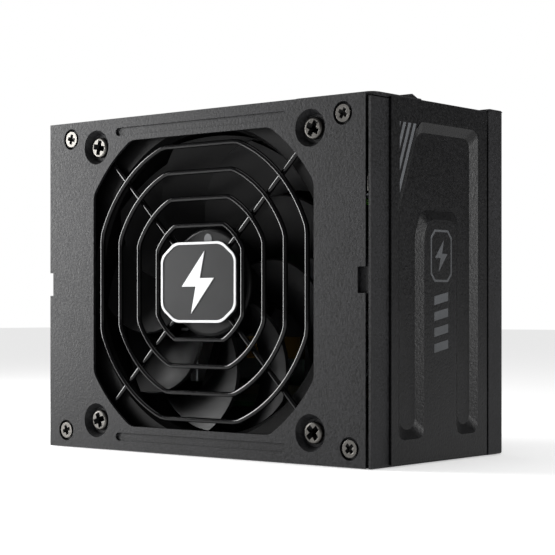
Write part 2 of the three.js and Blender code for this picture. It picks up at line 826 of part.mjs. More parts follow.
// One blade: a swept outline pressed thin along Y, then bent into a helix about the fan's axis.
function fanBlade() {
  const [inner, outer] = [hubRadius - 0.6, ductRadius - bladeTip];
  const steps = 5;
  const edge = (shift) => {
    const points = [];
    for (let i = 0; i <= steps; i += 1) {
      const share = i / steps;
      const radius = inner + share * (outer - inner);
      const angle = shift - bladeSweep * share * share;
      points.push([radius * Math.cos(angle), radius * Math.sin(angle)]);
    }
    return points;
  };
  const trailing = edge(-bladeSpan / 2);
  const leading = edge(bladeSpan / 2).reverse();
  const geometry = extruded(shapeOf([...leading, ...trailing]), bladeThickness);
  geometry.rotateX(Math.PI / 2);
  const corners = geometry.attributes.position;
  const rise = (bladeBack - bladeFront - bladeThickness) / bladeSpan;
  for (let i = 0; i < corners.count; i += 1) {
    const [x, z] = [corners.getX(i), corners.getZ(i)];
    const share = (Math.hypot(x, z) - inner) / (outer - inner);
    const angle = Math.atan2(z, x) + bladeSweep * share * share;
    const lift = bladeThickness + bladeFront + rise * (bladeSpan / 2 - angle);
    corners.setY(i, corners.getY(i) + lift);
  }
  return solidOf(geometry);
}

function fanRotor() {
  const cup = rodY(hubRadius, [hubFront, hubBack], 24);
  const hollow = rodY(hubRadius - hubWall, [hubFront + hubWall, hubBack + 1], 24);
  const boss = rodY(shaftRadius + gap + hubBossWall, [hubFront, hubBossBack], 16);
  const bore = rodY(shaftRadius + gap, [shaftSpan[0] - gap, hubBossBack + 1], 16);
  const blade = fanBlade();
  const blades = [];
  for (let i = 0; i < bladeCount; i += 1) blades.push(blade.rotate([0, i * 360 / bladeCount, 0]));
  return joined([cup, ...blades]).subtract(hollow).add(boss).subtract(bore);
}

function fanStator() {
  const inner = shaftRadius + shaftRunning + bearingWall + gap + bearingTubeWall + gap;
  const poleReach = magnetInner - statorAirGap;
  const poleHalf = poleReach * statorFaceShare;
  const pole = Math.sqrt(poleReach * poleReach - poleHalf * poleHalf);
  const ring = ringY(inner, inner + statorRing, statorSpan, 12);
  const poles = [0, 1, 2, 3].map((i) => {
    const stem = block([inner + 1, pole - 1], statorSpan, [-statorStemHalf, statorStemHalf]);
    const face = block([pole - 2, pole], statorSpan, [-poleHalf, poleHalf]);
    return stem.add(face).rotate([0, 90 * i, 0]);
  });
  return joined([ring, ...poles]);
}

function addFan() {
  const fan = group(powerSupply, 0, front + fanFromFront, fanHeight);
  const bearingOuter = shaftRadius + shaftRunning + bearingWall;
  place(fan, 'fan_frame', fanFrame(), fanPlastic);
  place(fan, 'fan_rotor', fanRotor(), fanPlastic);
  place(fan, 'fan_shaft', rodY(shaftRadius, shaftSpan, 16), groundSteel);
  place(fan, 'fan_magnet_ring', ringY(magnetInner, magnetOuter, magnetSpan, 18), ferrite);
  const bearingSpan = [bearingFront, bearingBack];
  const bearing = ringY(shaftRadius + shaftRunning, bearingOuter, bearingSpan, 16);
  place(fan, 'fan_bearing', bearing, bronze);
  place(fan, 'fan_stator', fanStator(), laminations);
  for (const { side, x, z } of fanCorners) {
    const y = -gap - coverSheet - seat - fanScrewHeadHeight;
    place(fan, `fan_screw_${side}`, fanScrew(), nickel, [x * fanHoleHalf, y, z * fanHoleHalf]);
  }
}

// ---------------------------------------------------------------- mains inlet
function wellOutline() {
  const [a, b] = [inletWellX / 2, inletWellY / 2];
  return shapeOf([[-a, -b], [a, -b], [a, b - inletWellCut], [a - inletWellCut, b],
    [-a + inletWellCut, b], [-a, b - inletWellCut]]);
}

const pinPlaces = [
  { name: 'inlet_pin_line', x: -pinSpacing, y: -pinOffset },
  { name: 'inlet_pin_neutral', x: pinSpacing, y: -pinOffset },
  { name: 'inlet_pin_earth', x: 0, y: pinOffset },
];

function pinBlock(extra, z0, z1) {
  const [a, b] = [pinWidth / 2 + extra, pinBreadth / 2 + extra];
  return block([-a, a], [-b, b], [z0, z1]);
}

function inletHousing() {
  const outline = roundedRectangle(inletFlangeX, inletFlangeY, inletFlangeCorner);
  const flange = sweptZ(outline, [seat, inletFlangeHeight], 4);
  const body = block([-inletBodyX / 2, inletBodyX / 2], [-inletBodyY / 2, inletBodyY / 2],
    [-inletBodyDepth, seat + neckHeight]);
  const well = sweptZ(wellOutline(), [-inletWellDepth, inletFlangeHeight + 1]);
  const slots = pinPlaces.map(({ x, y }) => pinBlock(0.1, -inletBodyDepth - 1, -inletWellDepth + 1)
    .translate(x, y, 0));
  return cutBy(flange.add(body), [well, ...slots]);
}

function addInlet() {
  const inlet = group(powerSupply, inletX, front + inletFromFront, endTop);
  place(inlet, 'mains_inlet', inletHousing(), inletPlastic);
  for (const { name, x, y } of pinPlaces) {
    place(inlet, name, pinBlock(0, -pinTail, -pinTip), nickel, [x, y, 0]);
  }
}

// ---------------------------------------------------------------- rocker switch
const rockerHalf = switchBodyX / 2 - switchWall - gap;
const rockerRadius = switchBodyY / 2 - switchWall - gap;

function rockerShape() {
  const at = (z) => Math.sqrt(rockerRadius * rockerRadius - z * z);
  const shape = new THREE.Shape();
  const low = Math.asin(-rockerBelow / rockerRadius);
  const high = Math.asin(rockerTop / rockerRadius);
  shape.moveTo(0, rockerTop - rockerDip);
  shape.lineTo(-at(rockerTop), rockerTop);
  shape.absarc(0, 0, rockerRadius, Math.PI - high, Math.PI - low, false);
  shape.lineTo(0, -rockerBelow - 1);
  shape.absarc(0, 0, rockerRadius, low, high, false);
  shape.closePath();
  return shape;
}

function rocker() {
  const paddle = sweptX(rockerShape(), [-rockerHalf, rockerHalf], 8);
  const reach = rockerHalf + gap + trunnionReach;
  const trunnions = rodX(trunnionRadius, [-reach, reach], 12, 0, 0);
  return paddle.add(trunnions).rotate([-rockerTilt, 0, 0]);
}

function switchHousing() {
  const [a, b] = [switchBodyX / 2, switchBodyY / 2];
  const bezel = sweptZ(roundedRectangle(switchBezelX, switchBezelY, 1), [seat, switchBezelHeight]);
  const body = block([-a, a], [-b, b], [-switchBodyDepth, seat + neckHeight]);
  const well = block([-a + switchWall, a - switchWall], [-b + switchWall, b - switchWall],
    [-switchWellDepth, switchBezelHeight + 1]);
  const reach = rockerHalf + gap + trunnionReach + 0.1;
  const bearing = rodX(trunnionRadius + 0.1, [-reach, reach], 12, 0, rockerPivot);
  return cutBy(bezel.add(body), [well, bearing]);
}

function addSwitch() {
  const mains = group(powerSupply, switchX, front + switchFromFront, endTop);
  place(mains, 'switch_housing', switchHousing(), inletPlastic);
  place(mains, 'switch_rocker', rocker(), rockerPlastic, [0, 0, rockerPivot]);
}

// ---------------------------------------------------------------- modular sockets
function socketShell(columns) {
  const [a, b] = [socketWidth(columns) / 2, socketBreadth / 2];
  const shell = block([-a, a], [-b, b], [0, socketDepth]);
  const well = block([-a + socketWall, a - socketWall], [-b + socketWall, b - socketWall],
    [-1, socketWell]);
  return shell.subtract(well);
}

function addSockets() {
  for (const { name, columns, x, fromFront } of sockets) {
    place(powerSupply, name, socketShell(columns), socketPlastic,
      [x, front + fromFront, socketRecess]);
  }
  const low = socketRecess + socketDepth + gap;
  const board = block([-modularBoardHalf, modularBoardHalf],
    [front + modularBoardFront, front + modularBoardBack], [low, low + boardThickness]);
  place(powerSupply, 'modular_board', board, boardLaminate);
}

// ---------------------------------------------------------------- main board and its components
// A box component standing on the main board: x and z ranges, and its height towards the fan.
function standing(xs, zs, tall) {
  const foot = front + componentFoot;
  return block(xs, [foot - tall, foot], zs);
}

function can(radius, tall, x, z, segments) {
  const foot = front + componentFoot;
  return turned([[0, foot - tall], [radius - 0.8, foot - tall], [radius, foot - tall + 0.8],
    [radius, foot], [0, foot]], segments, x, z);
}

function toroid(inner, outer, tall, x, z) {
  const foot = front + componentFoot;
  const soft = 2;
  return turned([[inner + soft, foot - tall], [outer - soft, foot - tall], [outer, foot - tall + soft],
    [outer, foot - soft], [outer - soft, foot], [inner + soft, foot], [inner, foot - soft],
    [inner, foot - tall + soft], [inner + soft, foot - tall]], 18, x, z);
}

function heatSink(x, side) {
  const [low, high] = sinkSpan;
  const parts = [standing([x - sinkThickness / 2, x + sinkThickness / 2], sinkSpan, sinkTall)];
  const reach = x + side * finReach;
  const firstFin = (low + high) / 2 - finPitch * (finCount - 1) / 2;
  for (let i = 0; i < finCount; i += 1) {
    const z = firstFin + i * finPitch;
    const breadth = [z - finThickness / 2, z + finThickness / 2];
    parts.push(standing([Math.min(x, reach), Math.max(x, reach)], breadth, sinkTall - 0.5));
  }
  return joined(parts);
}

function transformerCore() {
  const body = standing([-coreHalf, coreHalf],
    [transformerZ - coreThickness / 2, transformerZ + coreThickness / 2], coreTall);
  const foot = front + componentFoot;
  const windows = [-1, 1].map((side) => {
    const edges = [side * coreLeg, side * (coreHalf - coreLeg)].sort((p, q) => p - q);
    return block(edges, [foot - coreTall + coreYoke, foot - coreYoke], [0, height]);
  });
  return cutBy(body, windows).translate(transformerX, 0, 0);
}

function transformerWinding() {
  const foot = front + componentFoot;
  const span = [foot - coreTall + coreYoke + gap, foot - coreYoke - gap];
  const outer = coreHalf - coreLeg - gap;
  const inner = coreLeg + gap;
  const reach = coreThickness / 2 + gap;
  const wide = reach + windingOverhang;
  const wound = block([-outer, outer], span, [transformerZ - wide, transformerZ + wide]);
  const leg = block([-inner, inner], [span[0] - 1, span[1] + 1],
    [transformerZ - reach, transformerZ + reach]);
  return wound.subtract(leg).translate(transformerX, 0, 0);
}

function addBoards() {
  const y0 = front + mainBoardFromFront;
  const side = wallInside - mainBoardSideGap;
  const board = block([-side, side], [y0, y0 + boardThickness],
    [mainBoardBottom, endUnder - mainBoardTopGap]);
  const aroundSwitch = switchBodyX / 2 + switchRelief;
  const relief = block([switchX - aroundSwitch, switchX + aroundSwitch], [y0 - 1, back],
    [endTop - switchBodyDepth - switchRelief, height]);
  place(powerSupply, 'main_board', board.subtract(relief), boardLaminate);
  const y1 = front + insulatorFromFront;
  const filmSide = backScrewX - coverScrewHead - 1;
  const film = block([-filmSide, filmSide], [y1, y1 + insulatorThickness],
    [filmBottom, endUnder - filmTopGap]);
  place(powerSupply, 'insulating_sheet', film, insulation);
}

function addComponents() {
  place(powerSupply, 'transformer_core', transformerCore(), ferrite);
  place(powerSupply, 'transformer_winding', transformerWinding(), yellowTape);
  const largeZ = endTop - largePartDrop;
  place(powerSupply, 'bulk_capacitor', can(bulkRadius, bulkTall, bulkX, largeZ, 20), sleeve);
  const choke = toroid(chokeInner, chokeOuter, chokeTall, chokeX, largeZ);
  place(powerSupply, 'choke_core', choke, yellowTape);
  const filter = toroid(filterInner, filterOuter, filterTall, filterX, endTop - filterDrop);
  place(powerSupply, 'filter_choke', filter, copper);
  const filmBox = standing([filmBoxX - filmBoxSide, filmBoxX + filmBoxSide],
    filmBoxDrop.map((drop) => endTop - drop), filmBoxTall);
  place(powerSupply, 'filter_capacitor', filmBox, greyFilm);
  const rectifierX = wallInside - rectifierWallGap;
  const rectifier = standing([rectifierX - rectifierThickness, rectifierX], rectifierSpan,
    rectifierTall);
  place(powerSupply, 'bridge_rectifier', rectifier, epoxy);
  const standby = standing(standbyX, standbyZ, standbyTall);
  place(powerSupply, 'standby_transformer', standby, yellowTape);
  place(powerSupply, 'primary_heat_sink', heatSink(primarySinkX, -1), aluminium);
  place(powerSupply, 'secondary_heat_sink', heatSink(secondarySinkX, 1), aluminium);
  outputPlaces.forEach(([x, z], i) => {
    place(powerSupply, `output_capacitor_${i + 1}`, can(outputRadius, outputTall, x, z, 12), sleeve);
  });
}

// ---------------------------------------------------------------- leads held inside the case
function lead(points) {
  const placed = points.map(([x, fromFront, z]) => [x, front + fromFront, z]);
  return tube(placed, leadRadius, 10, leadSides / 2);
}

function addLeads() {
  const tail = endTop - pinTail - gap - leadRadius;
  const pinY = inletFromFront - pinOffset;
  const bendY = pinY + 5;
  const dropY = componentFoot - 11.7;
  const line = lead([
    [inletX - pinSpacing, pinY, tail], [inletX - 10.3, bendY, tail - 6.7],
    [inletX - 10.5, dropY, tail - 11.7], [inletX - 10.5, componentFoot, tail - 13.7],
  ]);
  const neutral = lead([
    [inletX + pinSpacing, pinY, tail], [inletX + 15.7, bendY + 1, tail - 2.7],
    [inletX + 18.2, dropY, tail - 6.7], [inletX + 18.2, componentFoot, tail - 9.7],
  ]);
  const earth = lead([
    [inletX, inletFromFront + pinOffset, tail], [inletX + 8.7, bendY + 1, tail - 2.7],
    [inletX + 18.7, bendY + 2, tail + 5.3], [inletX + 18.7, bendY + 2, endUnder - gap],
  ]);
  const fanLead = lead([[-44, fanBack + 1.1, 24], [-50, fanBack + 11, 25],
    [-52, componentFoot - 9, 24], [-52, componentFoot, 24]]);
  place(powerSupply, 'line_lead', line, blackLead);
  place(powerSupply, 'neutral_lead', neutral, blackLead);
  place(powerSupply, 'earth_lead', earth, earthLead);
  place(powerSupply, 'fan_lead', fanLead, blackLead);
}

// ---------------------------------------------------------------- assembly
function addCase() {
  place(powerSupply, 'fan_cover', fanCover(), coatedSteel);
  place(powerSupply, 'chassis_frame', chassisFrame(), coatedSteel);
  place(powerSupply, 'mains_end_plate', endPlate(), coatedSteel);
  place(powerSupply, 'back_cover', backCover(), coatedSteel);
  const panel = rightPanel();
  place(powerSupply, 'side_panel_right', panel, coatedSteel);
  place(powerSupply, 'side_panel_left', panel.mirror([1, 0, 0]), coatedSteel);
  for (const { name, x, z } of coverScrews) {
    place(powerSupply, name, countersunkScrew(), nickel, [x, front + seat, z]);
  }
  for (const { name, x, z } of backScrews) {
    const turnedScrew = countersunkScrew().rotate([0, 0, 180]);
    place(powerSupply, name, turnedScrew, nickel, [x, back - seat, z]);
  }
}

addCase();
place(powerSupply, 'wire_grille', wireGrille(), blackWire);
place(powerSupply, 'grille_badge', grilleBadge(), badgePlastic);
addFan();
addInlet();
addSwitch();
addSockets();
addBoards();
addComponents();
addLeads();

export default powerSupply;
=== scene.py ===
# %% [markdown]
# # A small computer power supply
# The sheet-steel case, the fan, the inlet and everything inside already exist as a plain frame
# model. This lesson dresses that frame: each visible node gets a finished piece that stands for
# it, with rounded folds, real wires, real screw recesses and a material with its own surface.
# Lengths are written in millimetres and turned to metres by one constant.

# %% Load the frame
import math

import bmesh
import bpy
from mathutils import Matrix, Vector


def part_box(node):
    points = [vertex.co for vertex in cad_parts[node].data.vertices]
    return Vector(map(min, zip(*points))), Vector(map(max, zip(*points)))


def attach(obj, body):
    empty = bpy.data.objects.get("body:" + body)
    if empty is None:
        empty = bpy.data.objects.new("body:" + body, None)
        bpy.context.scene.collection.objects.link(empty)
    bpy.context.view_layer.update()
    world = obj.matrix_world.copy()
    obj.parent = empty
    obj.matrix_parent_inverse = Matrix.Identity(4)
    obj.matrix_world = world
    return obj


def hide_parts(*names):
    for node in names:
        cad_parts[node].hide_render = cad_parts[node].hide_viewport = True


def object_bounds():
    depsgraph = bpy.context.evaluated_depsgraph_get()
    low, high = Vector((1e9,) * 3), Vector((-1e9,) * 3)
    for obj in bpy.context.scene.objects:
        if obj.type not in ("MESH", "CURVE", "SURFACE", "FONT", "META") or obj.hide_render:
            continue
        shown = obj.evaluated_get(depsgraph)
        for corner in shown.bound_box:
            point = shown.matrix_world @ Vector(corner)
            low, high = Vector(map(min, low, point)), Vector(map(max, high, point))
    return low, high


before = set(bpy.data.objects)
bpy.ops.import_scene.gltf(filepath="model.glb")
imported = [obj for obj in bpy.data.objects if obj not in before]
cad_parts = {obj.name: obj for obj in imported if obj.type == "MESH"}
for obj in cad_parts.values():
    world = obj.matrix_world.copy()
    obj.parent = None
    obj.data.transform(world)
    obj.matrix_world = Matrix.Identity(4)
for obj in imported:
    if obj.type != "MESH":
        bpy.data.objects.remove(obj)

MM = 0.001
cad_low, cad_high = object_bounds()

# %% [markdown]
# ## Selecting and applying
# Operators act on whatever is selected, and the frame arrives selected, so every step starts by
# selecting one piece only. A finished piece keeps its place in its mesh, so transforms are applied
# straight after a primitive is added.

# %% Helpers for modelling by hand
def focus(piece):
    """Selects one object only and makes it the active one."""
    bpy.ops.object.select_all(action="DESELECT")
    piece.select_set(True)
    bpy.context.view_layer.objects.active = piece


def settle(name):
    """Names the object just added and moves its place and size into its mesh."""
    piece = bpy.context.object
    piece.name = name
    bpy.ops.object.transform_apply(location=True, rotation=True, scale=True)
    return piece


def block(name, low, high):
    """A box between two corners, in millimetres."""
    bpy.ops.object.select_all(action="DESELECT")
    centre = [(a + b) / 2 * MM for a, b in zip(low, high)]
    size = [(b - a) * MM for a, b in zip(low, high)]
    bpy.ops.mesh.primitive_cube_add(size=1, location=centre, scale=size)
    return settle(name)


TURN_TO = {"X": (0, math.pi / 2, 0), "Y": (-math.pi / 2, 0, 0), "Z": (0, 0, 0)}


def cone(name, axis, start, end, sides=64):
    """A round solid along an axis. start and end are (x, y, z, radius), in millimetres."""
    bpy.ops.object.select_all(action="DESELECT")
    centre = [(a + b) / 2 * MM for a, b in zip(start[:3], end[:3])]
    depth = max(abs(b - a) for a, b in zip(start[:3], end[:3])) * MM
    bpy.ops.mesh.primitive_cone_add(vertices=sides, radius1=start[3] * MM, radius2=end[3] * MM,
                                    depth=depth, location=centre, rotation=TURN_TO[axis])
    return settle(name)


def apply_modifier(piece, kind, **settings):
    """Adds one modifier with its settings and applies it."""
    focus(piece)
    modifier = piece.modifiers.new(kind.title(), kind)
    for key, value in settings.items():
        setattr(modifier, key, value)
    bpy.ops.object.modifier_apply(modifier=modifier.name)
    return piece


def carve(piece, tool, operation="DIFFERENCE"):
    """Cuts a tool out of a piece, or joins or intersects it, and removes the tool."""
    apply_modifier(piece, "BOOLEAN", operation=operation, object=tool, solver="EXACT")
    bpy.data.objects.remove(tool)
    return piece


def tidy_mesh(piece, flat_angle=1.0):
    """Merges doubled points and joins triangles that lie in one plane."""
    focus(piece)
    bpy.ops.object.mode_set(mode="EDIT")
    bpy.ops.mesh.select_all(action="SELECT")
    bpy.ops.mesh.remove_doubles(threshold=0.002 * MM)
    bpy.ops.mesh.dissolve_limited(angle_limit=math.radians(flat_angle))
    bpy.ops.object.mode_set(mode="OBJECT")
    return piece


WIDE_FACE = 2.5  # a face square to an axis and wider than this both ways counts as flat
THIN = 0.001


def keep_flat(piece):
    """Shades wide flat faces flat, so that no rounded rim bends the light across them."""
    points = piece.data.vertices
    for face in piece.data.polygons:
        corners = [points[i].co / MM for i in face.vertices]
        spans = sorted(max(c[k] for c in corners) - min(c[k] for c in corners) for k in range(3))
        face.use_smooth = spans[0] > THIN or spans[1] < WIDE_FACE


def soften(piece, width, segments=2, angle=30):
    """Rounds every edge sharper than the angle, and keeps the flat faces shaded flat."""
    apply_modifier(piece, "BEVEL", width=width * MM, segments=segments, limit_method="ANGLE",
                   angle_limit=math.radians(angle), miter_outer="MITER_ARC", use_clamp_overlap=True)
    focus(piece)
    bpy.ops.object.shade_smooth_by_angle(angle=math.radians(angle))
    keep_flat(piece)
    return apply_modifier(piece, "WEIGHTED_NORMAL", keep_sharp=True, weight=100)


def round_picked(piece, test, width, segments=3):
    """Bevels only the edges that a test picks. The test reads an edge's two end points in mm."""
    focus(piece)
    bpy.ops.object.mode_set(mode="EDIT")
    bpy.ops.mesh.select_mode(type="EDGE")
    bpy.ops.mesh.select_all(action="DESELECT")
    mesh = bmesh.from_edit_mesh(piece.data)
    picked = 0
    for edge in mesh.edges:
        ends = [v.co / MM for v in edge.verts]
        edge.select_set(len(edge.link_faces) == 2 and test(edge, *ends))
        picked += edge.select
    bmesh.update_edit_mesh(piece.data)
    if picked:
        bpy.ops.mesh.bevel(offset=width * MM, offset_type="OFFSET", segments=segments,
                           affect="EDGES", clamp_overlap=True)
    bpy.ops.object.mode_set(mode="OBJECT")
    return picked


def copy_of_node(node, name):
    """A separate, merged copy of a frame node's mesh, ready to be worked on."""
    piece = bpy.data.objects.new(name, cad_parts[node].data.copy())
    bpy.context.scene.collection.objects.link(piece)
    return tidy_mesh(piece)


def twin(piece, name, offset=(0, 0, 0)):
    """A copy with its own mesh, moved by an offset in millimetres."""
    copy = bpy.data.objects.new(name, piece.data.copy())
    bpy.context.scene.collection.objects.link(copy)
    copy.data.transform(Matrix.Translation(Vector(offset) * MM))
    return copy


def joined(pieces, name):
    """Several objects made one."""
    focus(pieces[0])
    for piece in pieces[1:]:
        piece.select_set(True)
    bpy.ops.object.join()
    pieces[0].name = name
    pieces[0].data.name = name
    return pieces[0]


def node_box(node):
    """A frame node's two corners, in millimetres."""
    low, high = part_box(node)
    return low / MM, high / MM


def finish_piece(piece, body, material, slot, *nodes):
    """Gives a piece its material and its body, and says which nodes it stands for. Its slot is not used.
    """
    piece.data.materials.clear()
    piece.data.materials.append(material)
    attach(piece, body)
    if nodes:
        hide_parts(*nodes)
    print(piece.name, "-", len(piece.data.polygons), "faces")
    return piece


# %% [markdown]
# ## How a material is built
# Colours are picked as sRGB hex values, as a colour chart gives them, and one function turns them
# to the linear values that the shader wants. One helper adds a node with its settings and links.
# All patterns read Object coordinates, which are metres here, so a pattern's scale is one over its
# size in metres.

# %% Helpers for materials
def linear(hex_colour):
    """An sRGB hex colour as linear red, green, blue and alpha."""
    channels = [int(hex_colour[i:i + 2], 16) / 255 for i in (1, 3, 5)]
    return [c / 12.92 if c <= 0.04045 else ((c + 0.055) / 1.055) ** 2.4 for c in channels] + [1.0]


def add_node(tree, kind, settings=None, links=None):
    """Adds a node. Settings name its properties or sockets, and links join sockets to outputs."""
    node = tree.nodes.new(kind)
    for key, value in (settings or {}).items():
        if isinstance(key, str) and hasattr(node, key):
            setattr(node, key, value)
        else:
            node.inputs[key].default_value = value
    for key, source in (links or {}).items():
        tree.links.new(source, node.inputs[key])
    return node


def base_material(name, hex_colour, metallic, roughness, ior=1.5):
    """A new material with its shader and the Object coordinates that its patterns read."""
    material = bpy.data.materials.new(name)
    material.use_nodes = True
    tree = material.node_tree
    shader = tree.nodes["Principled BSDF"]
    shader.inputs["Base Color"].default_value = linear(hex_colour)
    shader.inputs["Metallic"].default_value = metallic
    shader.inputs["Roughness"].default_value = roughness
    shader.inputs["IOR"].default_value = ior
    place = add_node(tree, "ShaderNodeTexCoord").outputs["Object"]
    return material, tree, shader, place


def noise(tree, place, size_mm, detail=3.0, roughness=0.5):
    """Cloudy noise whose grains are about size_mm across."""
    node = add_node(tree, "ShaderNodeTexNoise",
                    {"Scale": 1 / (size_mm * MM), "Detail": detail, "Roughness": roughness},
                    {"Vector": place})
    return node.outputs["Fac"]


def between(tree, factor, low_hex, high_hex, start=0.35, end=0.65):
    """A colour that runs from one hex value to another as a factor rises."""
    ramp = add_node(tree, "ShaderNodeValToRGB", None, {"Fac": factor})
    ramp.color_ramp.elements[0].position = start
    ramp.color_ramp.elements[0].color = linear(low_hex)
    ramp.color_ramp.elements[1].position = end
    ramp.color_ramp.elements[1].color = linear(high_hex)
    return ramp.outputs["Color"]


def spread(tree, factor, low, high):
    """A number that runs from low to high as a factor runs from 0 to 1."""
    node = add_node(tree, "ShaderNodeMapRange", {"To Min": low, "To Max": high}, {"Value": factor})
    return node.outputs["Result"]


def bumped(tree, shader, height, depth_mm, strength=1.0, under=None):
    """Raises the surface by a height pattern of a real depth."""
    links = {"Height": height}
    if under is not None:
        links["Normal"] = under
    node = add_node(tree, "ShaderNodeBump", {"Strength": strength, "Distance": depth_mm * MM}, links)
    tree.links.new(node.outputs["Normal"], shader.inputs["Normal"])
    return node.outputs["Normal"]


# %% [markdown]
# ## Powder-coated steel
# The case is pressed steel with a black polyester powder coat. The powder melts into a fine
# pebbled skin, grains about half a millimetre apart and a few hundredths deep, which breaks the
# highlight into a soft sparkle; they are drawn a little coarser so that they show. A little
# colour variation keeps large faces from looking like plastic. The side panels' coat is a little
# smoother, so that their pressed shoulders catch the light as bright bands. It is also darker,
# which is painted shade: the same coat, shaded because the sides face away from the light.

# %% Powder coat
COAT_IOR = 1.28
CLOUD_MM = 18.0


def powder_coat(name, dark_hex, light_hex, roughness, grain_mm=0.7, depth_mm=0.075):
    """A pebbled coat. The grain moves its colour, its roughness and its height together."""
    material, tree, shader, place = base_material(name, dark_hex, 0.0, roughness, COAT_IOR)
    grain = noise(tree, place, grain_mm, 2.0, 0.6)
    cloud = noise(tree, place, CLOUD_MM, 2.0, 0.5)
    mixed = add_node(tree, "ShaderNodeMath", {"operation": "MULTIPLY_ADD", 1: 0.25},
                     {0: cloud, 2: grain}).outputs["Value"]
    tree.links.new(between(tree, mixed, dark_hex, light_hex, 0.45, 0.85), shader.inputs["Base Color"])
    patchy = spread(tree, grain, roughness * 0.55, roughness * 1.5)
    tree.links.new(patchy, shader.inputs["Roughness"])
    bumped(tree, shader, grain, depth_mm, 1.0)
    return material


case_coat = powder_coat("powder-coated steel", "#0e0e0f", "#272729", 0.5)
# The side panels' darker colour is painted shade: it is the case's own coat, shaded because the sides
# get less light.
shaded_panel_coat = powder_coat("powder-coated steel, side panel, painted shade", "#050506", "#171718", 0.34)


# %% [markdown]
# ## Nickel, wire and steel
# Screws are nickel-plated steel: a warm bright metal with faint turning marks and dulling. The
# grille wires are welded steel with a thick gloss black dip coat, which pools into a smooth skin,
# so its only relief is a slow waviness.

# %% Metals and wire coat
def plated_metal(name, hex_colour, roughness, mark_mm=0.12):
    """A plated or ground metal with fine marks and duller clouds."""
    material, tree, shader, place = base_material(name, hex_colour, 1.0, roughness)
    marks = noise(tree, place, mark_mm, 2.0, 0.6)
    dull = noise(tree, place, 2.5, 3.0, 0.6)
    tree.links.new(spread(tree, dull, roughness * 0.7, roughness * 1.6), shader.inputs["Roughness"])
    bumped(tree, shader, marks, 0.01, 0.4)
    return material


def dip_coat(name, hex_colour, roughness):
    """A thick gloss skin with a slow waviness."""
    material, tree, shader, place = base_material(name, hex_colour, 0.0, roughness, 1.32)
    shader.inputs["Coat Weight"].default_value = 0.12
    shader.inputs["Coat Roughness"].default_value = 0.12
    waves = noise(tree, place, 3.0, 2.0, 0.4)
    specks = noise(tree, place, 0.3, 2.0, 0.6)
    tree.links.new(spread(tree, specks, roughness * 0.8, roughness * 1.3), shader.inputs["Roughness"])
    bumped(tree, shader, waves, 0.04, 0.5)
    return material


nickel = plated_metal("nickel-plated steel", "#6f6d69", 0.32)
# Painted shade: a darker copy of the same nickel, for the screws that catch less light.
shaded_nickel = plated_metal("nickel-plated steel, painted shade", "#5c5a57", 0.32)
bare_steel = plated_metal("ground steel", "#b4b6b8", 0.28)
tinned_brass = plated_metal("tinned brass", "#c8b98a", 0.3)
aluminium = plated_metal("extruded aluminium", "#b9bbbf", 0.38)
wire_coat = dip_coat("dip-coated steel wire", "#040405", 0.15)


# %% [markdown]
# ## Moulded plastics
# The fan is glass-filled PBT, nearly black with a soft gloss, duller on its frame than on its
# blades, which air and handling polish. The frame's copy is also darker and reflects less, which
# is painted shade for the frame lying in shade behind the cover. Inlet, sockets and rocker are black
# nylon and polycarbonate. What tells them apart is the gloss and the fine spark-eroded grain of
# the mould, so one function makes them with different roughness and grain.

# %% Plastics
def moulded(name, dark_hex, light_hex, roughness, grain_mm, depth_mm, ior=1.5):
    """A moulded or printed plastic with the grain of its mould."""
    material, tree, shader, place = base_material(name, dark_hex, 0.0, roughness, ior)
    grain = noise(tree, place, grain_mm, 2.0, 0.5)
    cloud = noise(tree, place, 12.0, 3.0, 0.5)
    tree.links.new(between(tree, cloud, dark_hex, light_hex), shader.inputs["Base Color"])
    tree.links.new(spread(tree, grain, roughness * 0.85, roughness * 1.2), shader.inputs["Roughness"])
    bumped(tree, shader, grain, depth_mm, 0.4)
    return material


fan_plastic = moulded("glass-filled PBT", "#040405", "#080809", 0.34, 0.25, 0.015, 1.26)
nylon = moulded("black nylon 66", "#121213", "#1a1a1c", 0.46, 0.2, 0.02, 1.53)
polycarbonate = moulded("black polycarbonate", "#0e0e0f", "#151517", 0.22, 0.3, 0.01, 1.58)
epoxy = moulded("epoxy moulding compound", "#161617", "#1f1f20", 0.55, 0.15, 0.02, 1.55)
# The frame's darker colour and weaker reflection are painted shade: it is the blades' plastic, shaded
# inside the duct behind the cover.
shaded_frame_plastic = moulded("glass-filled PBT, fan frame, painted shade", "#030303", "#060607", 0.46, 0.25, 0.015, 1.18)
badge_field = moulded("satin anodised badge plate", "#191a1b", "#1f2021", 0.42, 0.3, 0.01, 1.26)
white_ink = moulded("white enamel ink", "#d9dadb", "#e9e9ea", 0.45, 0.3, 0.01, 1.5)
grey_ink = moulded("grey screen-printing ink", "#47494b", "#515356", 0.6, 0.35, 0.015, 1.5)
dim_ink = moulded("dark grey screen-printing ink", "#393b3d", "#434548", 0.6, 0.35, 0.015, 1.5)
sensor_grey = moulded("grey PBT", "#77787a", "#8a8b8d", 0.5, 0.3, 0.01, 1.5)
lead_skin = moulded("black PVC wire insulation", "#0f0f10", "#18181a", 0.38, 0.4, 0.02, 1.53)
earth_skin = moulded("green PVC wire insulation", "#3f7d1e", "#5b9a2a", 0.38, 0.4, 0.02, 1.53)
film_box = moulded("grey potted film capacitor", "#7d8288", "#8f949a", 0.42, 0.4, 0.015, 1.5)
clear_film = moulded("polyester insulating film", "#b9b29c", "#c9c3b0", 0.3, 6.0, 0.05, 1.6)

# %% [markdown]
# ## What sits on the boards
# Solder mask is glossy green over copper tracks, which show as a faint raised maze. Winding tape
# and copper wire are laid in turns, so both are drawn with bands whose pitch is the tape's or the
# wire's own width. Ferrite is a sintered ceramic, dull with fine speckle.

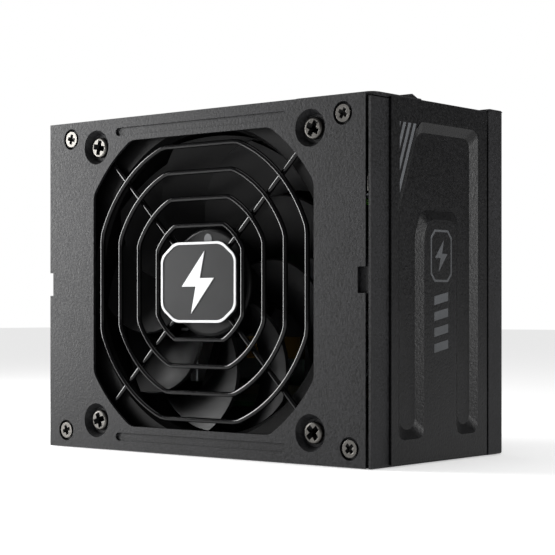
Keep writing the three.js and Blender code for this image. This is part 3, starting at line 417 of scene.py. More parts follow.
# %% Boards, windings and ferrite
def solder_mask(name):
    """Glossy lacquer over copper tracks."""
    # The mask's colours are kept very dark as painted shade for the inside of the case.
    material, tree, shader, place = base_material(name, "#08200f", 0.0, 0.35, 1.5)
    shader.inputs["Coat Weight"].default_value = 0.4
    tracks = add_node(tree, "ShaderNodeTexBrick",
                      {"Scale": 1 / (9 * MM), "Mortar Size": 0.06, "Row Height": 0.32,
                       "Color1": linear("#08200f"), "Color2": linear("#0b2816"),
                       "Mortar": linear("#123a20")}, {"Vector": place})
    tree.links.new(tracks.outputs["Color"], shader.inputs["Base Color"])
    bumped(tree, shader, tracks.outputs["Fac"], 0.05, 0.6)
    return material


WAVE_PERIOD = 0.314  # a band texture repeats after this many units at scale 1


def wound(name, dark_hex, light_hex, pitch_mm, roughness, direction="Y", metallic=0.0):
    """Turns of tape or wire laid side by side along one axis."""
    material, tree, shader, place = base_material(name, dark_hex, metallic, roughness, 1.5)
    turns = add_node(tree, "ShaderNodeTexWave",
                     {"wave_type": "BANDS", "bands_direction": direction, "wave_profile": "SIN",
                      "Scale": WAVE_PERIOD / (pitch_mm * MM), "Distortion": 0.4, "Detail": 1.0},
                     {"Vector": place}).outputs["Fac"]
    tree.links.new(between(tree, turns, dark_hex, light_hex, 0.2, 0.8), shader.inputs["Base Color"])
    tree.links.new(spread(tree, turns, roughness * 1.3, roughness * 0.8), shader.inputs["Roughness"])
    bumped(tree, shader, turns, pitch_mm / 5, 0.7)
    return material


def speckled(name, dark_hex, light_hex, roughness, grain_mm):
    """A dull pressed powder with fine speckle."""
    material, tree, shader, place = base_material(name, dark_hex, 0.0, roughness, 1.6)
    grain = noise(tree, place, grain_mm, 4.0, 0.7)
    tree.links.new(between(tree, grain, dark_hex, light_hex, 0.4, 0.7), shader.inputs["Base Color"])
    bumped(tree, shader, grain, 0.05, 0.7)
    return material


# Painted shade: the solder mask and the winding tape get much darker colours than their own, standing in
# for the shade inside the case.
shaded_board_green = solder_mask("solder mask on laminate, painted shade")
shaded_tape_yellow = wound("polyester winding tape, painted shade", "#4a360d", "#6b5119", 3.2, 0.34)
copper_wire = wound("enamelled copper wire", "#7a3d18", "#c0703a", 1.1, 0.3, "Y", 0.85)
shrink_sleeve = moulded("PVC capacitor sleeve", "#121a2c", "#182238", 0.26, 1.2, 0.02, 1.53)
ferrite = speckled("sintered ferrite", "#1c1c1e", "#303034", 0.72, 0.3)
steel_stack = wound("steel laminations", "#4a4c50", "#7a7c80", 0.5, 0.4, "Y", 0.9)
bronze = plated_metal("sintered bronze", "#a9794a", 0.42)

# %% [markdown]
# ## Camera, floor and light
# A catalogue view: a long lens level with the lower third of the case, turned about forty degrees
# to the right of the fan side, with a little vertical shift so upright edges stay upright. The
# floor is a pale matte sheet on a lit table. A broad softbox stands on the left, a narrow strip on
# the right, and a diffuser hangs overhead, which is how a studio lights black goods: their
# reflections draw the wires and the folds, and the strip picks out the rounded shoulders of the
# side panel. The backdrop is white to the camera but lights the object only weakly.

# %% Camera
CAMERA_PLACE = Vector((314.5, -375.6, 41.2)) * MM
CAMERA_AZIMUTH = math.radians(39.62)
SENSOR = 36.0
LENS = 105.47
UPWARD_SHIFT = 0.0627  # as a share of the frame's width

camera_data = bpy.data.cameras.new("product camera")
camera_data.sensor_width = SENSOR
camera_data.lens = LENS
camera_data.shift_y = UPWARD_SHIFT
camera_data.clip_start = 0.01
camera = bpy.data.objects.new("product camera", camera_data)
camera.location = CAMERA_PLACE
camera.rotation_euler = (math.pi / 2, 0, CAMERA_AZIMUTH)
bpy.context.scene.collection.objects.link(camera)
bpy.context.scene.camera = camera
print("camera lens", round(camera_data.lens, 1), "mm")

# %% Floor and world
PAPER_GLOW = 0.4


def matte_paper(name, hex_colour):
    """White paper laid on a lit table, so it glows a little through its fibres."""
    material, tree, shader, place = base_material(name, hex_colour, 0.0, 0.9, 1.4)
    shader.inputs["Emission Color"].default_value = linear("#ffffff")
    shader.inputs["Emission Strength"].default_value = PAPER_GLOW
    fibres = noise(tree, place, 1.5, 4.0, 0.6)
    tree.links.new(between(tree, fibres, hex_colour, "#ffffff", 0.3, 0.9), shader.inputs["Base Color"])
    bumped(tree, shader, fibres, 0.03, 0.2)
    return material


FLOOR_HALF = 3.0
FLOOR_GAP = 0.2
bpy.ops.object.select_all(action="DESELECT")
bpy.ops.mesh.primitive_plane_add(size=2 * FLOOR_HALF, location=(0, 0, cad_low.z - FLOOR_GAP * MM))
floor = settle("studio_floor")
floor.data.materials.append(matte_paper("pale paper backdrop", "#fafafa"))

BACKDROP_SEEN = 1.0
BACKDROP_GLOW = 0.15
world = bpy.data.worlds.new("studio world")
bpy.context.scene.world = world
world.use_nodes = True
backdrop = world.node_tree.nodes["Background"]
backdrop.inputs["Color"].default_value = linear("#ffffff")
seen = add_node(world.node_tree, "ShaderNodeLightPath").outputs["Is Camera Ray"]
glow = spread(world.node_tree, seen, BACKDROP_GLOW, BACKDROP_SEEN)
world.node_tree.links.new(glow, backdrop.inputs["Strength"])
bpy.context.scene.view_settings.view_transform = "Standard"

# %% Lights
def soft_light(name, place, target, width, height, watts):
    """A rectangular softbox at a place, facing a target. Places are in millimetres."""
    data = bpy.data.lights.new(name, "AREA")
    data.shape = "RECTANGLE"
    data.size = width * MM
    data.size_y = height * MM
    data.energy = watts
    lamp = bpy.data.objects.new(name, data)
    lamp.location = Vector(place) * MM
    aim = (Vector(target) - Vector(place)).to_track_quat("-Z", "Y")
    lamp.rotation_euler = aim.to_euler()
    bpy.context.scene.collection.objects.link(lamp)
    return lamp


CASE_MIDDLE = (0, 0, 50)
soft_light("left softbox", (-450, -215, 100), CASE_MIDDLE, 230, 380, 5.4)
soft_light("right strip", (650, 120, 110), CASE_MIDDLE, 60, 420, 2.2)

OVERHEAD = 0.9
SOFT_EDGE = math.radians(40)
overhead_data = bpy.data.lights.new("overhead diffuser", "SUN")
overhead_data.energy = OVERHEAD
overhead_data.angle = SOFT_EDGE
overhead = bpy.data.objects.new("overhead diffuser", overhead_data)
bpy.context.scene.collection.objects.link(overhead)
print("studio ready")

# %% [markdown]
# ## Fan cover
# On the real case this is one pressed plate: a flat sheet with a rounded-square opening, two
# notches, two shallow pressed grooves, and a conical dimple under each fan screw. It could be
# drawn as an outline and extruded, but the dimples are turned shapes, so it is built as a slab
# that is joined with cones and then cut, and every edge is rounded at the end. Down both sides the
# back of its edge is cut away a little, which is the dark seam between cover and chassis.

# %% Fan cover: sizes
FRONT = node_box("fan_cover")[0].y
COVER_LEFT = node_box("fan_cover")[0].x
COVER_RIGHT = node_box("fan_cover")[1].x
COVER_TOP = node_box("fan_cover")[1].z
FAN_Z = (node_box("fan_frame")[0].z + node_box("fan_frame")[1].z) / 2
COVER_SHEET = 0.9
OPENING_SQUARE = 85.0
OPENING_RADIUS = 50.2
NOTCH_DEPTH = 2.6
NOTCH_HEIGHT = 7.0
GROOVE_HALF = 33.0
GROOVE_HEIGHT = 2.4
GROOVE_DEPTH = 0.6
GROOVE_INSET = 4.1
DIMPLE_RIM = 5.15
DIMPLE_FLOOR = 3.9
DIMPLE_DEPTH = 2.3
DIMPLE_WALL = 0.7
DIMPLE_MOUTH = 0.22
SCREW_HALF = 41.25
SCREW_HOLE = 2.1
SINK_RADIUS = 3.15
SEAM_START = 0.4
SEAM_DEPTH = 0.6
OPENING_ROUND = 2.5
CORNERS = {"top_left": (-1, 1), "top_right": (1, 1), "bottom_left": (-1, -1), "bottom_right": (1, -1)}


def opening_tool():
    """A rounded square: a circle cut by a square, taller than the sheet."""
    half = OPENING_SQUARE / 2
    disc = cone("opening", "Y", (0, FRONT - 3, FAN_Z, OPENING_RADIUS),
                (0, FRONT + 4, FAN_Z, OPENING_RADIUS), 160)
    square = block("square", (-half, FRONT - 5, FAN_Z - half), (half, FRONT + 6, FAN_Z + half))
    carve(disc, square, "INTERSECT")
    tidy_mesh(disc, 0.2)
    round_picked(disc, lambda e, a, b: abs(a.x - b.x) < 0.01 and abs(a.z - b.z) < 0.01
                 and e.calc_face_angle(0) > math.radians(15), OPENING_ROUND, 5)
    return disc


def groove_tool(z):
    """An obround bar that presses a shallow groove into the front face."""
    half = GROOVE_HALF - GROOVE_HEIGHT / 2
    bar = block("groove", (-half, FRONT - 2, z - GROOVE_HEIGHT / 2),
                (half, FRONT + GROOVE_DEPTH, z + GROOVE_HEIGHT / 2))
    for side in (-1, 1):
        end = cone("end", "Y", (side * half, FRONT - 2, z, GROOVE_HEIGHT / 2),
                   (side * half, FRONT + GROOVE_DEPTH, z, GROOVE_HEIGHT / 2), 24)
        carve(bar, end, "UNION")
    return bar


# %% Fan cover: dimples, seams and shape
def press_dimple(plate, x, z):
    """Joins a cone's outside to the sheet, cuts its inside out and drills its hole."""
    floor_y = FRONT + DIMPLE_DEPTH
    outside = cone("dimple outside", "Y", (x, FRONT + 0.3, z, DIMPLE_RIM + DIMPLE_WALL),
                   (x, floor_y + COVER_SHEET, z, DIMPLE_FLOOR + DIMPLE_WALL), 48)
    carve(plate, outside, "UNION")
    inside = cone("dimple inside", "Y", (x, FRONT - 0.4, z, DIMPLE_RIM + DIMPLE_MOUTH),
                  (x, floor_y, z, DIMPLE_FLOOR), 48)
    carve(plate, inside)
    carve(plate, cone("hole", "Y", (x, FRONT, z, SCREW_HOLE), (x, FRONT + 5, z, SCREW_HOLE), 24))


def sink(plate, node):
    """Cuts the round seat of one countersunk screw."""
    low, high = node_box(node)
    x, z = (low.x + high.x) / 2, (low.z + high.z) / 2
    seat = cone("sink", "Y", (x, FRONT - 0.5, z, SINK_RADIUS), (x, FRONT + 2, z, SINK_RADIUS), 40)
    carve(plate, seat)


def fan_cover():
    plate = block("fan_cover_sheet", (COVER_LEFT, FRONT, 0),
                  (COVER_RIGHT, FRONT + COVER_SHEET, COVER_TOP))
    for edge, inward in ((COVER_LEFT, NOTCH_DEPTH), (COVER_RIGHT, -NOTCH_DEPTH)):
        low, high = sorted((edge * 1.05, edge + inward))
        carve(plate, block("notch", (low, FRONT - 1, FAN_Z - NOTCH_HEIGHT / 2),
                           (high, FRONT + 2, FAN_Z + NOTCH_HEIGHT / 2)))
    carve(plate, opening_tool())
    for x, z in CORNERS.values():
        press_dimple(plate, x * SCREW_HALF, FAN_Z + z * SCREW_HALF)
    for name in CORNERS:
        sink(plate, "cover_screw_" + name)
    carve(plate, groove_tool(COVER_TOP - GROOVE_INSET))
    carve(plate, groove_tool(GROOVE_INSET))
    for low, high in ((COVER_RIGHT - SEAM_DEPTH, COVER_RIGHT + 1),
                      (COVER_LEFT - 1, COVER_LEFT + SEAM_DEPTH)):
        carve(plate, block("seam", (low, FRONT + SEAM_START, -1), (high, FRONT + 1, COVER_TOP + 1)))
    tidy_mesh(plate, 0.5)
    return soften(plate, 0.16, 2, 28)


finish_piece(fan_cover(), "root", case_coat, "coated_steel", "fan_cover")

# %% [markdown]
# ## Side panels
# Each side wears a thin pressed panel. The die pushes an upside-down U into the sheet, with soft
# shoulders where the steel bends. The frame has the same channel with hard corners, so a merged
# copy is taken and only its channel edges are rounded: first the corners seen in plan, then the
# shoulders, and last the cut edges of the sheet.

# %% Side panels
PANEL_OUTER = node_box("side_panel_right")[1].x
SHOULDER_RADIUS = 1.1
PLAN_RADIUS = 2.2


def side_panel(side):
    piece = copy_of_node(f"side_panel_{side}", f"stamped_panel_{side}")
    low, high = node_box(f"side_panel_{side}")

    def inside_border(point):
        return low.y + 1 < point.y < high.y - 1 and low.z + 1 < point.z < high.z - 1

    def is_plan_corner(edge, a, b):
        return inside_border(a) and inside_border(b) and abs(a.x - b.x) > 0.5

    def is_shoulder(edge, a, b):
        sharp = edge.calc_face_angle(0) > math.radians(15)
        return inside_border(a) and inside_border(b) and abs(a.x - b.x) < 0.1 and sharp

    corners = round_picked(piece, is_plan_corner, PLAN_RADIUS, 4)
    shoulders = round_picked(piece, is_shoulder, SHOULDER_RADIUS, 5)
    print("panel", side, corners, "corners,", shoulders, "shoulders")
    return soften(piece, 0.12, 2, 40)


for side in ("right", "left"):
    finish_piece(side_panel(side), "root", shaded_panel_coat, "coated_steel", "side_panel_" + side)

# %% [markdown]
# ## Chassis and back cover
# Both are folded from sheet. The back cover is the outer one, so its long corners show a bend
# radius of about the sheet's own thickness, while its cut edges are only deburred. Its bends are
# picked by where they lie and rounded first. The chassis and the vented end lie flush between the
# covers, so only their edges are broken.

# %% Chassis and back cover
BEND_RADIUS = 0.75


def folded_sheet(node, name):
    piece = copy_of_node(node, name)
    low, high = node_box(node)

    def is_outer_bend(edge, a, b):
        along = (a - b).length
        at_side = all(min(abs(p.x - low.x), abs(p.x - high.x)) < 0.02 for p in (a, b))
        at_back = all(abs(p.y - high.y) < 0.02 for p in (a, b))
        at_end = all(min(abs(p.z - low.z), abs(p.z - high.z)) < 0.02 for p in (a, b))
        folds = (at_side and at_back) + (at_back and at_end) + (at_side and at_end)
        return folds > 0 and along > 3

    bends = round_picked(piece, is_outer_bend, BEND_RADIUS, 4)
    print(name, "has", bends, "bends")
    return soften(piece, 0.1, 2, 40)


back_tray = folded_sheet("back_cover", "back_cover_tray")
finish_piece(back_tray, "root", case_coat, "coated_steel", "back_cover")
chassis = soften(copy_of_node("chassis_frame", "chassis_sheet"), 0.12, 2, 40)
finish_piece(chassis, "root", case_coat, "coated_steel", "chassis_frame")
end_sheet = soften(copy_of_node("mains_end_plate", "vented_end_sheet"), 0.1, 1, 40)
finish_piece(end_sheet, "root", case_coat, "coated_steel", "mains_end_plate")

# %% [markdown]
# ## Wire grille
# Four hoops of 1.5 mm wire, each a circle flattened on four sides, are spot-welded to two crossed
# struts, and each strut ends in an eye that a fan screw clamps. A hoop starts as a circle of
# points; the points beyond each flat are scaled onto it, the path becomes a curve, and a round
# section turns it into wire.

# %% Wire grille
WIRE_RADIUS = 0.75
RING_Y = FRONT + 1.0
STRUT_Y = FRONT + 2.4
RING_RADII = (42.0, 34.3, 26.6, 18.9)
FLAT_INSET = 2.5
EYE_RADIUS = 6.4


def wire_from_path(piece):
    """Turns a path of edges into a round wire."""
    focus(piece)
    bpy.ops.object.convert(target="CURVE")
    piece.data.bevel_depth = WIRE_RADIUS * MM
    piece.data.bevel_resolution = 3
    piece.data.use_fill_caps = True
    focus(piece)
    bpy.ops.object.convert(target="MESH")
    bpy.ops.object.shade_smooth()
    return bpy.context.object


def flattened_hoop(radius):
    bpy.ops.object.select_all(action="DESELECT")
    bpy.ops.mesh.primitive_circle_add(vertices=120, radius=radius * MM, fill_type="NOTHING",
                                      location=(0, RING_Y * MM, FAN_Z * MM),
                                      rotation=TURN_TO["Y"])
    hoop = settle("hoop")
    flat = (radius - FLAT_INSET) * MM
    centre = Vector((0, RING_Y * MM, FAN_Z * MM))
    for axis in (0, 2):
        for side in (-1, 1):
            bpy.ops.object.mode_set(mode="EDIT")
            bpy.ops.mesh.select_mode(type="VERT")
            bpy.ops.mesh.select_all(action="DESELECT")
            mesh = bmesh.from_edit_mesh(hoop.data)
            for vertex in mesh.verts:
                vertex.select_set(side * (vertex.co[axis] - centre[axis]) > flat)
            mesh.select_flush_mode()
            bmesh.update_edit_mesh(hoop.data)
            pivot = centre.copy()
            pivot[axis] += side * flat
            squeeze = [1, 1, 1]
            squeeze[axis] = 0
            bpy.ops.transform.resize(value=squeeze, center_override=pivot)
            bpy.ops.object.mode_set(mode="OBJECT")
    return wire_from_path(hoop)


def eye_loop(x, z):
    bpy.ops.object.select_all(action="DESELECT")
    bpy.ops.mesh.primitive_circle_add(vertices=48, radius=EYE_RADIUS * MM, fill_type="NOTHING",
                                      location=(x * MM, STRUT_Y * MM, z * MM), rotation=TURN_TO["Y"])
    return wire_from_path(settle("eye"))


def strut(side):
    """A straight wire from eye to eye across the middle."""
    reach = SCREW_HALF - EYE_RADIUS / math.sqrt(2)
    bar = cone("strut", "Y", (0, -1, 0, WIRE_RADIUS), (0, 1, 0, WIRE_RADIUS), 14)
    turn = Matrix.Rotation(math.pi / 2, 4, "X")
    length = 2 * reach * math.sqrt(2) * MM
    bar.data.transform(Matrix.Scale(length / (2 * MM), 4, (0, 1, 0)))
    bar.data.transform(Matrix.Rotation(side * math.pi / 4, 4, "Y") @ turn)
    bar.data.transform(Matrix.Translation(Vector((0, STRUT_Y, FAN_Z)) * MM))
    focus(bar)
    bpy.ops.object.shade_smooth_by_angle(angle=math.radians(40))
    return bar


wires = [flattened_hoop(radius) for radius in RING_RADII]
wires += [eye_loop(x * SCREW_HALF, FAN_Z + z * SCREW_HALF) for x, z in CORNERS.values()]
wires += [strut(1), strut(-1)]
finish_piece(joined(wires, "welded_wire_grille"), "root", wire_coat, "coated_wire", "wire_grille")

# %% [markdown]
# ## Badge
# A small satin plate sits in the middle of the grille. Its rim and its plain lightning bolt, the
# usual sign for electric power, are raised and enamelled white. The plate, the rim and the bolt are
# outlines drawn as one face and pulled out to a thickness, the plate to the frame's size, and the
# rim's middle is cut away.

# %% Badge: outlines
def drawn_plate(name, points, pull):
    """A flat sign: one face through points in millimetres, given thickness by a pull vector."""
    mesh = bpy.data.meshes.new(name)
    sheet = bmesh.new()
    sheet.faces.new([sheet.verts.new(Vector(point) * MM) for point in points])
    sheet.to_mesh(mesh)
    sheet.free()
    piece = bpy.data.objects.new(name, mesh)
    bpy.context.scene.collection.objects.link(piece)
    focus(piece)
    bpy.ops.object.mode_set(mode="EDIT")
    bpy.ops.mesh.select_all(action="SELECT")
    bpy.ops.mesh.extrude_region_move(TRANSFORM_OT_translate={"value": Vector(pull) * MM})
    bpy.ops.mesh.select_all(action="SELECT")
    bpy.ops.mesh.normals_make_consistent(inside=False)
    bpy.ops.object.mode_set(mode="OBJECT")
    return piece


BADGE_LOW, BADGE_HIGH = node_box("grille_badge")
BADGE_CUT = Vector((5.4, 4.2))
BADGE_CORNER = 1.6
BOLT = [(2.6, 9.0), (-6.2, -1.2), (-0.8, -1.2), (-2.6, -9.0), (6.2, 1.2), (0.8, 1.2)]


def octagon(inset):
    """The badge's outline, moved inwards, as (x, z) about its middle."""
    half_x = (BADGE_HIGH.x - BADGE_LOW.x) / 2 - inset
    half_z = (BADGE_HIGH.z - BADGE_LOW.z) / 2 - inset
    cut_x, cut_z = BADGE_CUT.x - inset * 0.5, BADGE_CUT.y - inset * 0.5
    return [(half_x, half_z - cut_z), (half_x - cut_x, half_z), (cut_x - half_x, half_z),
            (-half_x, half_z - cut_z), (-half_x, cut_z - half_z), (cut_x - half_x, -half_z),
            (half_x - cut_x, -half_z), (half_x, cut_z - half_z)]


def runs_along(axis):
    """A test for edges that lie along one axis."""
    def test(edge, a, b):
        others = [i for i in range(3) if i != axis]
        return all(abs(a[i] - b[i]) < 0.01 for i in others)
    return test


def badge_slab(name, inset, low_y, high_y):
    points = [(x, high_y, FAN_Z + z) for x, z in octagon(inset)]
    slab = drawn_plate(name, points, (0, low_y - high_y, 0))
    round_picked(slab, runs_along(1), BADGE_CORNER, 5)
    return slab


# %% Badge: plate, rim and bolt
RIM_WIDTH = 0.85
RIM_HEIGHT = 0.22
badge = soften(badge_slab("badge_plate", 0.0, BADGE_LOW.y, BADGE_HIGH.y), 0.12, 2, 40)
finish_piece(badge, "root", badge_field, "badge_plastic", "grille_badge")
rim = badge_slab("badge_rim", 0.12, BADGE_LOW.y - RIM_HEIGHT, BADGE_LOW.y + 0.05)
carve(rim, badge_slab("middle", RIM_WIDTH, BADGE_LOW.y - 1, BADGE_LOW.y + 1))
finish_piece(soften(rim, 0.07, 2, 40), "root", white_ink, "badge_plastic")
bolt = drawn_plate("badge_bolt", [(x, BADGE_LOW.y + 0.05, FAN_Z + z) for x, z in BOLT],
                   (0, -RIM_HEIGHT - 0.05, 0))
finish_piece(soften(bolt, 0.07, 2, 40), "root", white_ink, "badge_plastic")

# %% [markdown]
# ## Screws
# Two kinds hold the case: small countersunk ones at the cover's corners, and larger pan-head ones
# that clamp the fan and the grille's eyes. Each kind is modelled once, standing at the origin: a
# turned head, a cross recess whose arms narrow as they go down, and a shank with thread ridges
# made by widening every other ring of points. Copies are turned to different listed angles, as
# driven screws stop wherever they grip.

# %% Screws: sizes
SUNK_RADIUS = 2.4
SUNK_FOOT = 1.4
SUNK_HEIGHT = 1.1
SUNK_CROSS = (1.85, 0.62, 0.9)  # how far an arm reaches, half its width, and its depth
SUNK_SHANK = (1.35, 1.0, 4.0)  # radius, start and end
PAN_RADIUS = 3.05
PAN_HEIGHT = 1.2
PAN_ROUND = 0.6
PAN_CROSS = (2.7, 0.92, 1.1)
PAN_SHANK = (1.75, 1.1, 9.0)
THREAD_ROOT = 0.8
EDGE_BREAK = 0.06


# %% Screws: modelling
def recess_arm(name, reach, half, depth):
    """A bar that narrows towards its lower end, ready to cut one arm of a cross recess."""
    arm = block(name, (-reach, -0.5, -half), (reach, depth, half))
    focus(arm)
    bpy.ops.object.mode_set(mode="EDIT")
    bpy.ops.mesh.select_mode(type="FACE")
    bpy.ops.mesh.select_all(action="DESELECT")
    mesh = bmesh.from_edit_mesh(arm.data)
    mesh.normal_update()
    for face in mesh.faces:
        face.select_set(face.normal.y > 0.9)
    bmesh.update_edit_mesh(arm.data)
    bpy.ops.transform.resize(value=(0.45, 1, 0.6), center_override=(0, depth * MM, 0))
    bpy.ops.object.mode_set(mode="OBJECT")
    return arm


def threaded_shank(radius, start, end, pitch=0.7):
    """A shank along Y whose every other ring of points is drawn in, so that it reads as thread."""
    shank = cone("shank", "Y", (0, start, 0, radius), (0, end, 0, radius), 24)
    rings = max(int((end - start) / pitch * 2), 2)
    for i in range(1, rings):
        focus(shank)
        bpy.ops.object.mode_set(mode="EDIT")
        bpy.ops.mesh.select_all(action="SELECT")
        y = start + (end - start) * i / rings
        bpy.ops.mesh.bisect(plane_co=(0, y * MM, 0), plane_no=(0, 1, 0))
        if i % 2:
            bpy.ops.transform.resize(value=(THREAD_ROOT, 1, THREAD_ROOT),
                                     center_override=(0, y * MM, 0))
        bpy.ops.object.mode_set(mode="OBJECT")
    return shank


def cut_recess(head, reach, half, depth):
    """Cuts a cross into a head: one arm, and the same arm a quarter turn round."""
    for name, turn in (("arm", 0), ("cross arm", 90)):
        arm = recess_arm(name, reach, half, depth)
        arm.data.transform(Matrix.Rotation(math.radians(turn), 4, "Y"))
        carve(head, arm)


def countersunk_screw():
    head = cone("countersunk screw", "Y", (0, 0, 0, SUNK_RADIUS), (0, SUNK_HEIGHT, 0, SUNK_FOOT), 48)
    cut_recess(head, *SUNK_CROSS)
    soften(head, EDGE_BREAK)
    return joined([head, threaded_shank(*SUNK_SHANK)], "countersunk screw")


def pan_head_screw():
    head = cone("pan-head screw", "Y", (0, 0, 0, PAN_RADIUS), (0, PAN_HEIGHT, 0, PAN_RADIUS), 48)
    round_picked(head, lambda e, a, b: a.y < 0.01 and b.y < 0.01, PAN_ROUND, 4)
    cut_recess(head, *PAN_CROSS)
    soften(head, EDGE_BREAK)
    return joined([head, threaded_shank(*PAN_SHANK)], "pan-head screw")


def recess_faces(pattern):
    """The faces that line the cross: the steep ones near the middle, and the recess floor."""
    found = []
    for face in pattern.data.polygons:
        middle = face.center / MM
        inside = Vector((middle.x, middle.z)).length < 2.15 and 0.03 < middle.y < 1.15
        steep = abs(face.normal.y) < 0.97
        if inside and (steep or middle.y > 0.5):
            found.append(face.index)
    return found


# %% Screws: copies
# Painted shade: a near-black material for the faces that line each cross recess, standing in for the
# shade inside it.
painted_recess_shade = moulded("painted shade in screw recess", "#030303", "#070707", 0.6, 0.2, 0.01, 1.3)
countersunk = countersunk_screw()
pan_head = pan_head_screw()
RECESS = {pattern.name: recess_faces(pattern) for pattern in (countersunk, pan_head)}
print("recess faces", {name: len(faces) for name, faces in RECESS.items()})
STOPS = {"top_left": 12, "top_right": 31, "bottom_left": -19, "bottom_right": 48}


def driven(pattern, node, metal, head_at_low_y=True):
    """Puts a copy of a screw where a node's screw is, turned to its own stop."""
    low, high = node_box(node)
    screw = twin(pattern, "driven_" + node)
    stop = STOPS[node.split("screw_")[1]]
    turn = Matrix.Rotation(math.radians(stop), 4, "Y")
    if not head_at_low_y:
        turn = Matrix.Rotation(math.pi, 4, "Z") @ turn
    head_y = low.y if head_at_low_y else high.y
    place = Matrix.Translation(Vector(((low.x + high.x) / 2, head_y, (low.z + high.z) / 2)) * MM)
    screw.data.transform(place @ turn)
    finish_piece(screw, "root", metal, "nickel_plate", node)
    screw.data.materials.append(painted_recess_shade)
    for index in RECESS[pattern.name]:
        screw.data.polygons[index].material_index = 1


# The top-left screws take the bright nickel; the others, and the back screws, take its darker copy as
# painted shade.
for corner in CORNERS:
    metal = nickel if corner == "top_left" else shaded_nickel
    driven(countersunk, "cover_screw_" + corner, metal)
    driven(pan_head, "fan_screw_" + corner, metal)
    driven(countersunk, "back_screw_" + corner, shaded_nickel, head_at_low_y=False)
for pattern in (countersunk, pan_head):
    bpy.data.objects.remove(pattern)

# %% [markdown]
# ## Printing on the side panels
# Four slanting stripes run beside the channel's slanted corner, and a small badge outline and a
# column of plain bars stand on the middle tongue. It is screen-printing ink, a few hundredths of a
# millimetre thick, so each mark is an outline pulled out by a very thin amount.

# %% Printing: stripes
INK = 0.05
CHANNEL_FRONT = 11.8
DIAGONAL_FOOT = Vector((11.0, 69.7))
DIAGONAL_HEAD = Vector((20.3, 93.0))
STRIPE_TOP = 92.3
STRIPE_START = 0.5
STRIPE_WIDTH = 1.15
STRIPE_PITCH = 2.2
diagonal = (DIAGONAL_HEAD - DIAGONAL_FOOT).normalized()
away = Vector((-diagonal.y, diagonal.x))


def stripe_line(offset):
    """Where a line beside the diagonal meets the left border and the top border."""
    start = DIAGONAL_FOOT + away * offset
    left = start + diagonal * ((CHANNEL_FRONT - start.x) / diagonal.x)
    top = start + diagonal * ((STRIPE_TOP - start.y) / diagonal.y)
    return left, top


def printed(name, outline, side):
    """Ink on a side panel. The outline lists (distance from the front, height)."""
    x = side * (PANEL_OUTER - INK / 2)
    points = [(x, FRONT + y, z) for y, z in outline]
    return drawn_plate(name, points, (side * INK, 0, 0))


def stripes(side):
    pieces = []
    for i in range(4):
        left_a, top_a = stripe_line(STRIPE_START + i * STRIPE_PITCH)
        left_b, top_b = stripe_line(STRIPE_START + i * STRIPE_PITCH + STRIPE_WIDTH)
        cut_off = top_b.x <= CHANNEL_FRONT
        outline = [left_a, Vector((CHANNEL_FRONT, STRIPE_TOP))] if cut_off else [left_a, left_b, top_b]
        pieces.append(printed("stripe", outline + [top_a], side))
    return joined(pieces, "printed_stripes_" + ("right" if side > 0 else "left"))


# %% Printing: tongue marks
MARK_MIDDLE = Vector((31.6, 56.8))
MARK_HALF = Vector((5.2, 7.2))
MARK_LINE = 0.6
BAR_HALF = 3.4
BAR_LOW = 30.0
BAR_PITCH = 4.4
BAR_HEIGHT = 2.4
BAR_SLANT = 1.2


def mark_outline(inset):
    a, b = MARK_HALF.x - inset, MARK_HALF.y - inset
    cut_a, cut_b = 0.36 * a, 0.28 * b
    corners = [(a, b - cut_b), (a - cut_a, b), (cut_a - a, b), (-a, b - cut_b),
               (-a, cut_b - b), (cut_a - a, -b), (a - cut_a, -b), (a, cut_b - b)]
    return [MARK_MIDDLE + Vector(corner) for corner in corners]


def tongue_marks(side):
    ring = printed("mark", mark_outline(0), side)
    hole = drawn_plate("hole", [(side * (PANEL_OUTER - 1), FRONT + y, z)
                                for y, z in mark_outline(MARK_LINE)], (side * 2, 0, 0))
    carve(ring, hole)
    flash = printed("flash", [MARK_MIDDLE + Vector((x, z)) * 0.5 for x, z in BOLT], side)
    near, far = MARK_MIDDLE.x - BAR_HALF, MARK_MIDDLE.x + BAR_HALF
    bars = []
    for i in range(4):
        low = BAR_LOW + i * BAR_PITCH
        outline = [Vector((near, low)), Vector((far, low + BAR_SLANT)),
                   Vector((far, low + BAR_SLANT + BAR_HEIGHT)), Vector((near, low + BAR_HEIGHT))]
        bars.append(printed("bar", outline, side))
    return joined([ring, flash] + bars, "printed_marks_" + ("right" if side > 0 else "left"))


for side in (1, -1):
    finish_piece(stripes(side), "root", grey_ink, "coated_steel")
    finish_piece(tongue_marks(side), "root", dim_ink, "coated_steel")

# %% [markdown]
# ## Fan frame
# The fan is a slim 92 mm one. Its frame is a square plate with rounded corners at each face, a
# round duct between them with a flared mouth, four arms at the back and a hub that carries the
# bearing tube. Primitives are joined, the air way is turned out of the middle, and every moulded
# edge gets a small radius.

# %% Fan frame
FAN_FRONT = node_box("fan_frame")[0].y
FAN_BACK = node_box("fan_frame")[1].y
FAN_HALF = (node_box("fan_frame")[1].x - node_box("fan_frame")[0].x) / 2
FAN_CORNER = 6.0
DUCT = 44.0
DUCT_WALL = 1.4
FLANGE = 3.2
MOUTH = 1.4
MOUTH_DEPTH = 2.4
SUPPORT_FRONT = 12.6
SUPPORT_RADIUS = 15.5
ARM_START = 14
ARM_HALF = 1.5
ARM_TURN = 20
BEARING_TUBE = 3.6
TUBE_FRONT = 4.4
BEARING_BORE = 2.4
BORE_FRONT = 3.4
BORE_BACK = 13.8
FAN_SCREW_HOLE = 2.15


def fan_disc(name, radius, low, high, sides=64, top_radius=None):
    """A round solid about the fan's axis. Depths are measured from the fan's front face."""
    top = radius if top_radius is None else top_radius
    return cone(name, "Y", (0, FAN_FRONT + low, FAN_Z, radius), (0, FAN_FRONT + high, FAN_Z, top), sides)


